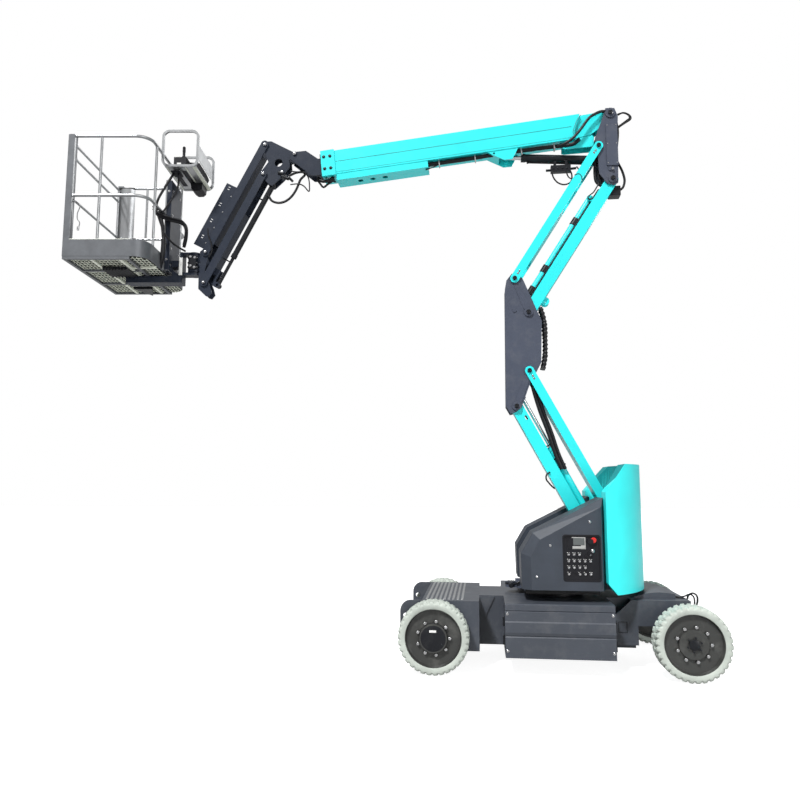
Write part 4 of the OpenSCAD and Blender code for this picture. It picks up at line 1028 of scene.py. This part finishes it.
def grating_bars():
    bars = Shape(PLATFORM)
    x = FLOOR_X0 + 0.045
    while x < FLOOR_X1 - 0.02:
        past = x - (FLOOR_X1 - CORNER)
        reach = FLOOR_Y - CORNER + corner_reach(past, 0.01) if past > 0 else FLOOR_Y - 0.01
        bars.block((x, -reach, FLOOR_Z + 0.016), (x + 0.004, reach, GRATING_TOP))
        x += 0.034
    y = -FLOOR_Y + 0.05
    while y < FLOOR_Y - 0.04:
        past = max(0.0, abs(y) - (FLOOR_Y - CORNER))
        end = FLOOR_X1 - CORNER + corner_reach(past, 0.012)
        bars.block((FLOOR_X0 + 0.01, y, FLOOR_Z + 0.018), (end, y + 0.005, FLOOR_Z + 0.024))
        y += 0.06
    for x in (-0.778, -0.519):
        bars.block((x, -0.584, FLOOR_Z + 0.002), (x + 0.028, 0.584, GRATING_TOP))
    for y in (-0.31, 0.11):
        bars.block((-0.5, y, FLOOR_Z + 0.003), (-0.27, y + 0.026, FLOOR_Z + 0.024))
    bars.done("grating_bars", "pale_steel", "platform", "platform_steel")


def floor_fittings():
    """Toothed step and bracket under the floor, and the lip of the toe board."""
    step = Shape(PLATFORM)
    step.block((-0.75, -0.35, FLOOR_Z - 0.018), (-0.52, -0.12, FLOOR_Z + 0.003))
    root, tip = FLOOR_Z - 0.017, FLOOR_Z - 0.034
    for k in range(8):
        x = -0.748 + 0.028 * k
        step.prism([(x, root), (x + 0.024, root), (x + 0.012, tip)], -0.35, -0.12)
    step.prism([(-0.705, 0.3), (-0.515, 0.3), (-0.6, 0.56)], FLOOR_Z - 0.022, FLOOR_Z + 0.003, "z")
    step.done("underfloor_steps", "black_paint", "platform", bevel=0.0015)
    lip = Shape(PLATFORM)
    lip.tube([(x, -0.586, 3.6425) for x in (FLOOR_X0 + 0.004, -0.7, FLOOR_X1 - CORNER)], 0.004, 8)
    lip.done("toe_board_lip", "pale_steel", "platform", "platform_steel")


def entry_details():
    """Curved sheet at the far side of the entry, the caps of the corner sheets and the gate's latch."""
    sheet = Shape(PLATFORM)
    outline = arc(-0.9135, 0.64, 0.13, 230, 310, 12) + arc(-0.9135, 0.64, 0.127, 310, 230, 12)
    sheet.prism(outline, FLOOR_Z + 0.17, FLOOR_Z + 1.14, "z")
    sheet.done("far_entry_sheet", "galvanised", "platform", "platform_steel")
    caps = Shape(PLATFORM)
    caps.block((-1.0, 0.52, FLOOR_Z + 1.138), (-0.83, 0.548, FLOOR_Z + 1.152))
    caps.block((-1.004, -0.5885, FLOOR_Z + 1.1725), (-0.962, -0.56, FLOOR_Z + 1.1765))
    caps.done("entry_sheet_caps", "rubber", "platform", bevel=0.002)
    latch = Shape(PLATFORM)
    latch.tube([(-0.95, -0.545, 4.02), (-0.93, -0.54, 4.008), (-0.9, -0.536, 3.97), (-0.918, -0.536, 3.905),
        (-0.916, -0.536, 3.85), (-0.894, -0.536, 3.816), (-0.9, -0.536, 3.77)], 0.0042, 8)
    latch.rod((-0.958, -0.545, 4.02), (-0.94, -0.545, 4.02), 0.012)
    latch.turned([(0.01, 0), (0.01, 0.03), (0.006, 0.034)], (-0.905, -0.536, 3.745), (0, 0, 1), 14)
    for z in (FLOOR_Z + 1.11, FLOOR_Z + 0.98):
        latch.block((-0.99, -0.53, z - 0.012), (-0.955, -0.505, z + 0.012))
    latch.done("gate_latch", "steel", "platform")


def column_details():
    """Cover and bolts of the platform's column, and the ribs of the tray on top."""
    cover = Shape(PLATFORM)
    cover.block((-0.249, -0.1525, 3.498), (COLUMN_FACE, 0.1525, 4.386))
    cover.done("column_cover", "jib_paint", "platform", "frame_paint", bevel=0.003)
    bolts = Shape(PLATFORM)
    for y in (-0.105, 0.105):
        for z in (3.56, 3.72, 4.05, 4.3):
            bolts.bolt((COLUMN_FACE, y, z), (1, 0, 0), 0.009, 0.007)
    for z in (3.6, 4.28):
        bolts.bolt((-0.228, -0.1525, z), (0, -1, 0), 0.008, 0.006)
    bolts.done("column_bolts", "steel", "platform")
    ribs = Shape(PLATFORM)
    for x0, x1, bottom in ((-0.2285, -0.2185, 4.4715), (-0.0535, -0.0435, 4.4715), (0.02, 0.056, 4.4705)):
        ribs.block((x0, -0.262, bottom), (x1, 0.262, 4.4745))
    ribs.done("tray_ribs", "pale_steel", "platform", "platform_steel", bevel=0.0008)


def dull_sheets():
    """The wide corner sheets of the rails are duller than the tubes."""
    rails = NODES["platform_rails"]
    mesh = rails.data
    mesh.materials.append(MATERIALS["sheet_steel"])
    turn = PLATFORM.inverted() @ rails.matrix_world
    for polygon in mesh.polygons:
        spots = [turn @ mesh.vertices[i].co for i in polygon.vertices]
        if all(p.x < FLOOR_X0 + 0.062 and abs(p.y) > 0.525 for p in spots) and polygon.area > 0.002:
            polygon.material_index = 1


def console_details():
    up = (0, 0, 1)
    label = Shape(PLATFORM)
    label.block((-0.135, -0.2412, 4.503), (-0.096, -0.2398, 4.526))
    label.prism([(-0.166, 4.584), (-0.1, 4.584), (-0.118, 4.6), (-0.148, 4.604)], -0.236, -0.2)
    label.done("console_label", "white", "platform", "panel_plastic")
    # Joystick with its boot, and the domed cover beside the console
    controls = Shape(PLATFORM)
    controls.lathe([(0.03, 0), (0.028, 0.006), (0.021, 0.014), (0.023, 0.018), (0.016, 0.028),
        (0.014, 0.036), (0, 0.036)], (-0.087, -0.19, 4.583), up, 24)
    controls.lathe([(0, 0), (0.0145, 0), (0.015, 0.016), (0.014, 0.03), (0.0145, 0.046), (0.011, 0.054),
        (0, 0.056)], (-0.087, -0.19, 4.656), up, 24)
    controls.prism([(-0.13, 4.482), (-0.14, 4.6), (-0.118, 4.655), (-0.06, 4.662), (-0.008, 4.612),
        (0.022, 4.54), (0.022, 4.482)], 0.075, 0.245)
    controls.prism([(-0.1, 4.474), (0.022, 4.474), (0.016, 4.41), (-0.008, 4.388), (-0.06, 4.386),
        (-0.092, 4.41)], 0.085, 0.24)
    controls.done("console_controls", "black_plastic", "platform", "panel_plastic", bevel=0.0006)
    stop = Shape(PLATFORM)
    stop.lathe([(0, 0), (0.01, 0), (0.01, 0.008), (0.017, 0.01), (0.017, 0.016), (0.012, 0.02), (0, 0.0205)],
        (-0.03, 0.11, 4.612), up, 24)
    stop.done("console_stop", "red", "platform", "panel_plastic")


def platform_cables():
    """Cables between the console and the jib, their corrugated conduit and the clips."""
    lead = ((-0.345, -0.222, 4.074), (-0.299, -0.22, 4.012), (-0.188, -0.212, 3.966), (-0.085, -0.196, 3.942),
            (-0.046, -0.18, 3.896), (-0.048, -0.16, 3.806), (-0.076, -0.12, 3.73))
    lanes = ((0.0, 0.0, 0.015), (0.022, 0.016, 0.012), (-0.018, 0.018, 0.01))
    runs = [(r, [(x, y + dy, z + dz) for x, y, z in lead]) for dy, dz, r in lanes]
    hoses("platform_cables", "platform",
        (0.012, [(-0.17, -0.12, 4.5), (-0.182, -0.18, 4.44), (-0.205, -0.205, 4.38), (-0.25, -0.214, 4.29),
            (-0.3, -0.218, 4.19), (-0.32, -0.22, 4.12), (-0.314, -0.222, 4.06)]),
        (0.009, [(-0.132, -0.19, 4.44), (-0.128, -0.196, 4.33), (-0.15, -0.2, 4.236), (-0.2, -0.206, 4.144),
            (-0.25, -0.214, 4.06), (-0.29, -0.22, 4.016)]),
        *runs,
        (0.009, [(-0.299, -0.226, 4.0), (-0.262, -0.226, 3.9), (-0.226, -0.22, 3.817), (-0.16, -0.2, 3.745),
            (-0.113, -0.18, 3.712), (-0.06, -0.12, 3.69)]), place=PLATFORM)
    conduit = Shape(PLATFORM)
    conduit.tube([(-0.3, -0.2, 4.05), (-0.262, -0.212, 3.93), (-0.24, -0.216, 3.76), (-0.248, -0.212, 3.61),
        (-0.28, -0.19, 3.5)], ribbed(0.02, 0.0028, 44), 14)
    conduit.done("platform_conduit", "hose", "platform", angle=60)
    clips = Shape(PLATFORM)
    clips.block((-0.262, -0.236, 4.02), (-0.235, -0.15, 4.036))
    clips.block((-0.252, -0.226, 3.74), (-0.228, -0.15, 3.756))
    clips.block((-0.19, -0.236, 4.438), (-0.11, -0.11, 4.452))
    clips.done("cable_clips", "black_paint", "platform", bevel=0.002)


def rotator_details():
    """Valve and fittings of the platform's rotator, the load sensor and the support's braces."""
    valve = Shape(PLATFORM)
    valve.block((-0.04, -0.084, 3.53), (0.034, -0.06, 3.66))
    for z in (3.548, 3.59, 3.64):
        valve.rod((-0.048, -0.074, z), (0.052, -0.074, z - 0.006), 0.01)
    valve.done("rotator_valve", "black_paint", "jib_end", bevel=0.002)
    fittings = Shape(PLATFORM)
    for x, z in ((-0.022, 3.65), (0.02, 3.642), (-0.02, 3.56), (0.018, 3.545)):
        fittings.bolt((x, -0.084, z), (0, -1, 0), 0.009, 0.008)
    fittings.done("rotator_fittings", "steel", "jib_end")
    sensor = Shape(PLATFORM)
    sensor.block((-0.1345, -0.071, 3.47), (-0.1, -0.06, 3.646))
    sensor.done("load_sensor", "white", "platform", "panel_plastic", bevel=0.003)
    braces = Shape(PLATFORM)
    for side in SIDES:
        braces.prism([(-0.206, 3.53), (-0.126, 3.47), (-0.126, 3.44), (-0.206, 3.44)], side * 0.046,
            side * 0.054)
    braces.done("support_braces", "jib_paint", "platform", "frame_paint", bevel=0.001)


grating_shadow()
grating_bars()
floor_fittings()
entry_details()
column_details()
dull_sheets()
console_details()
platform_cables()
rotator_details()
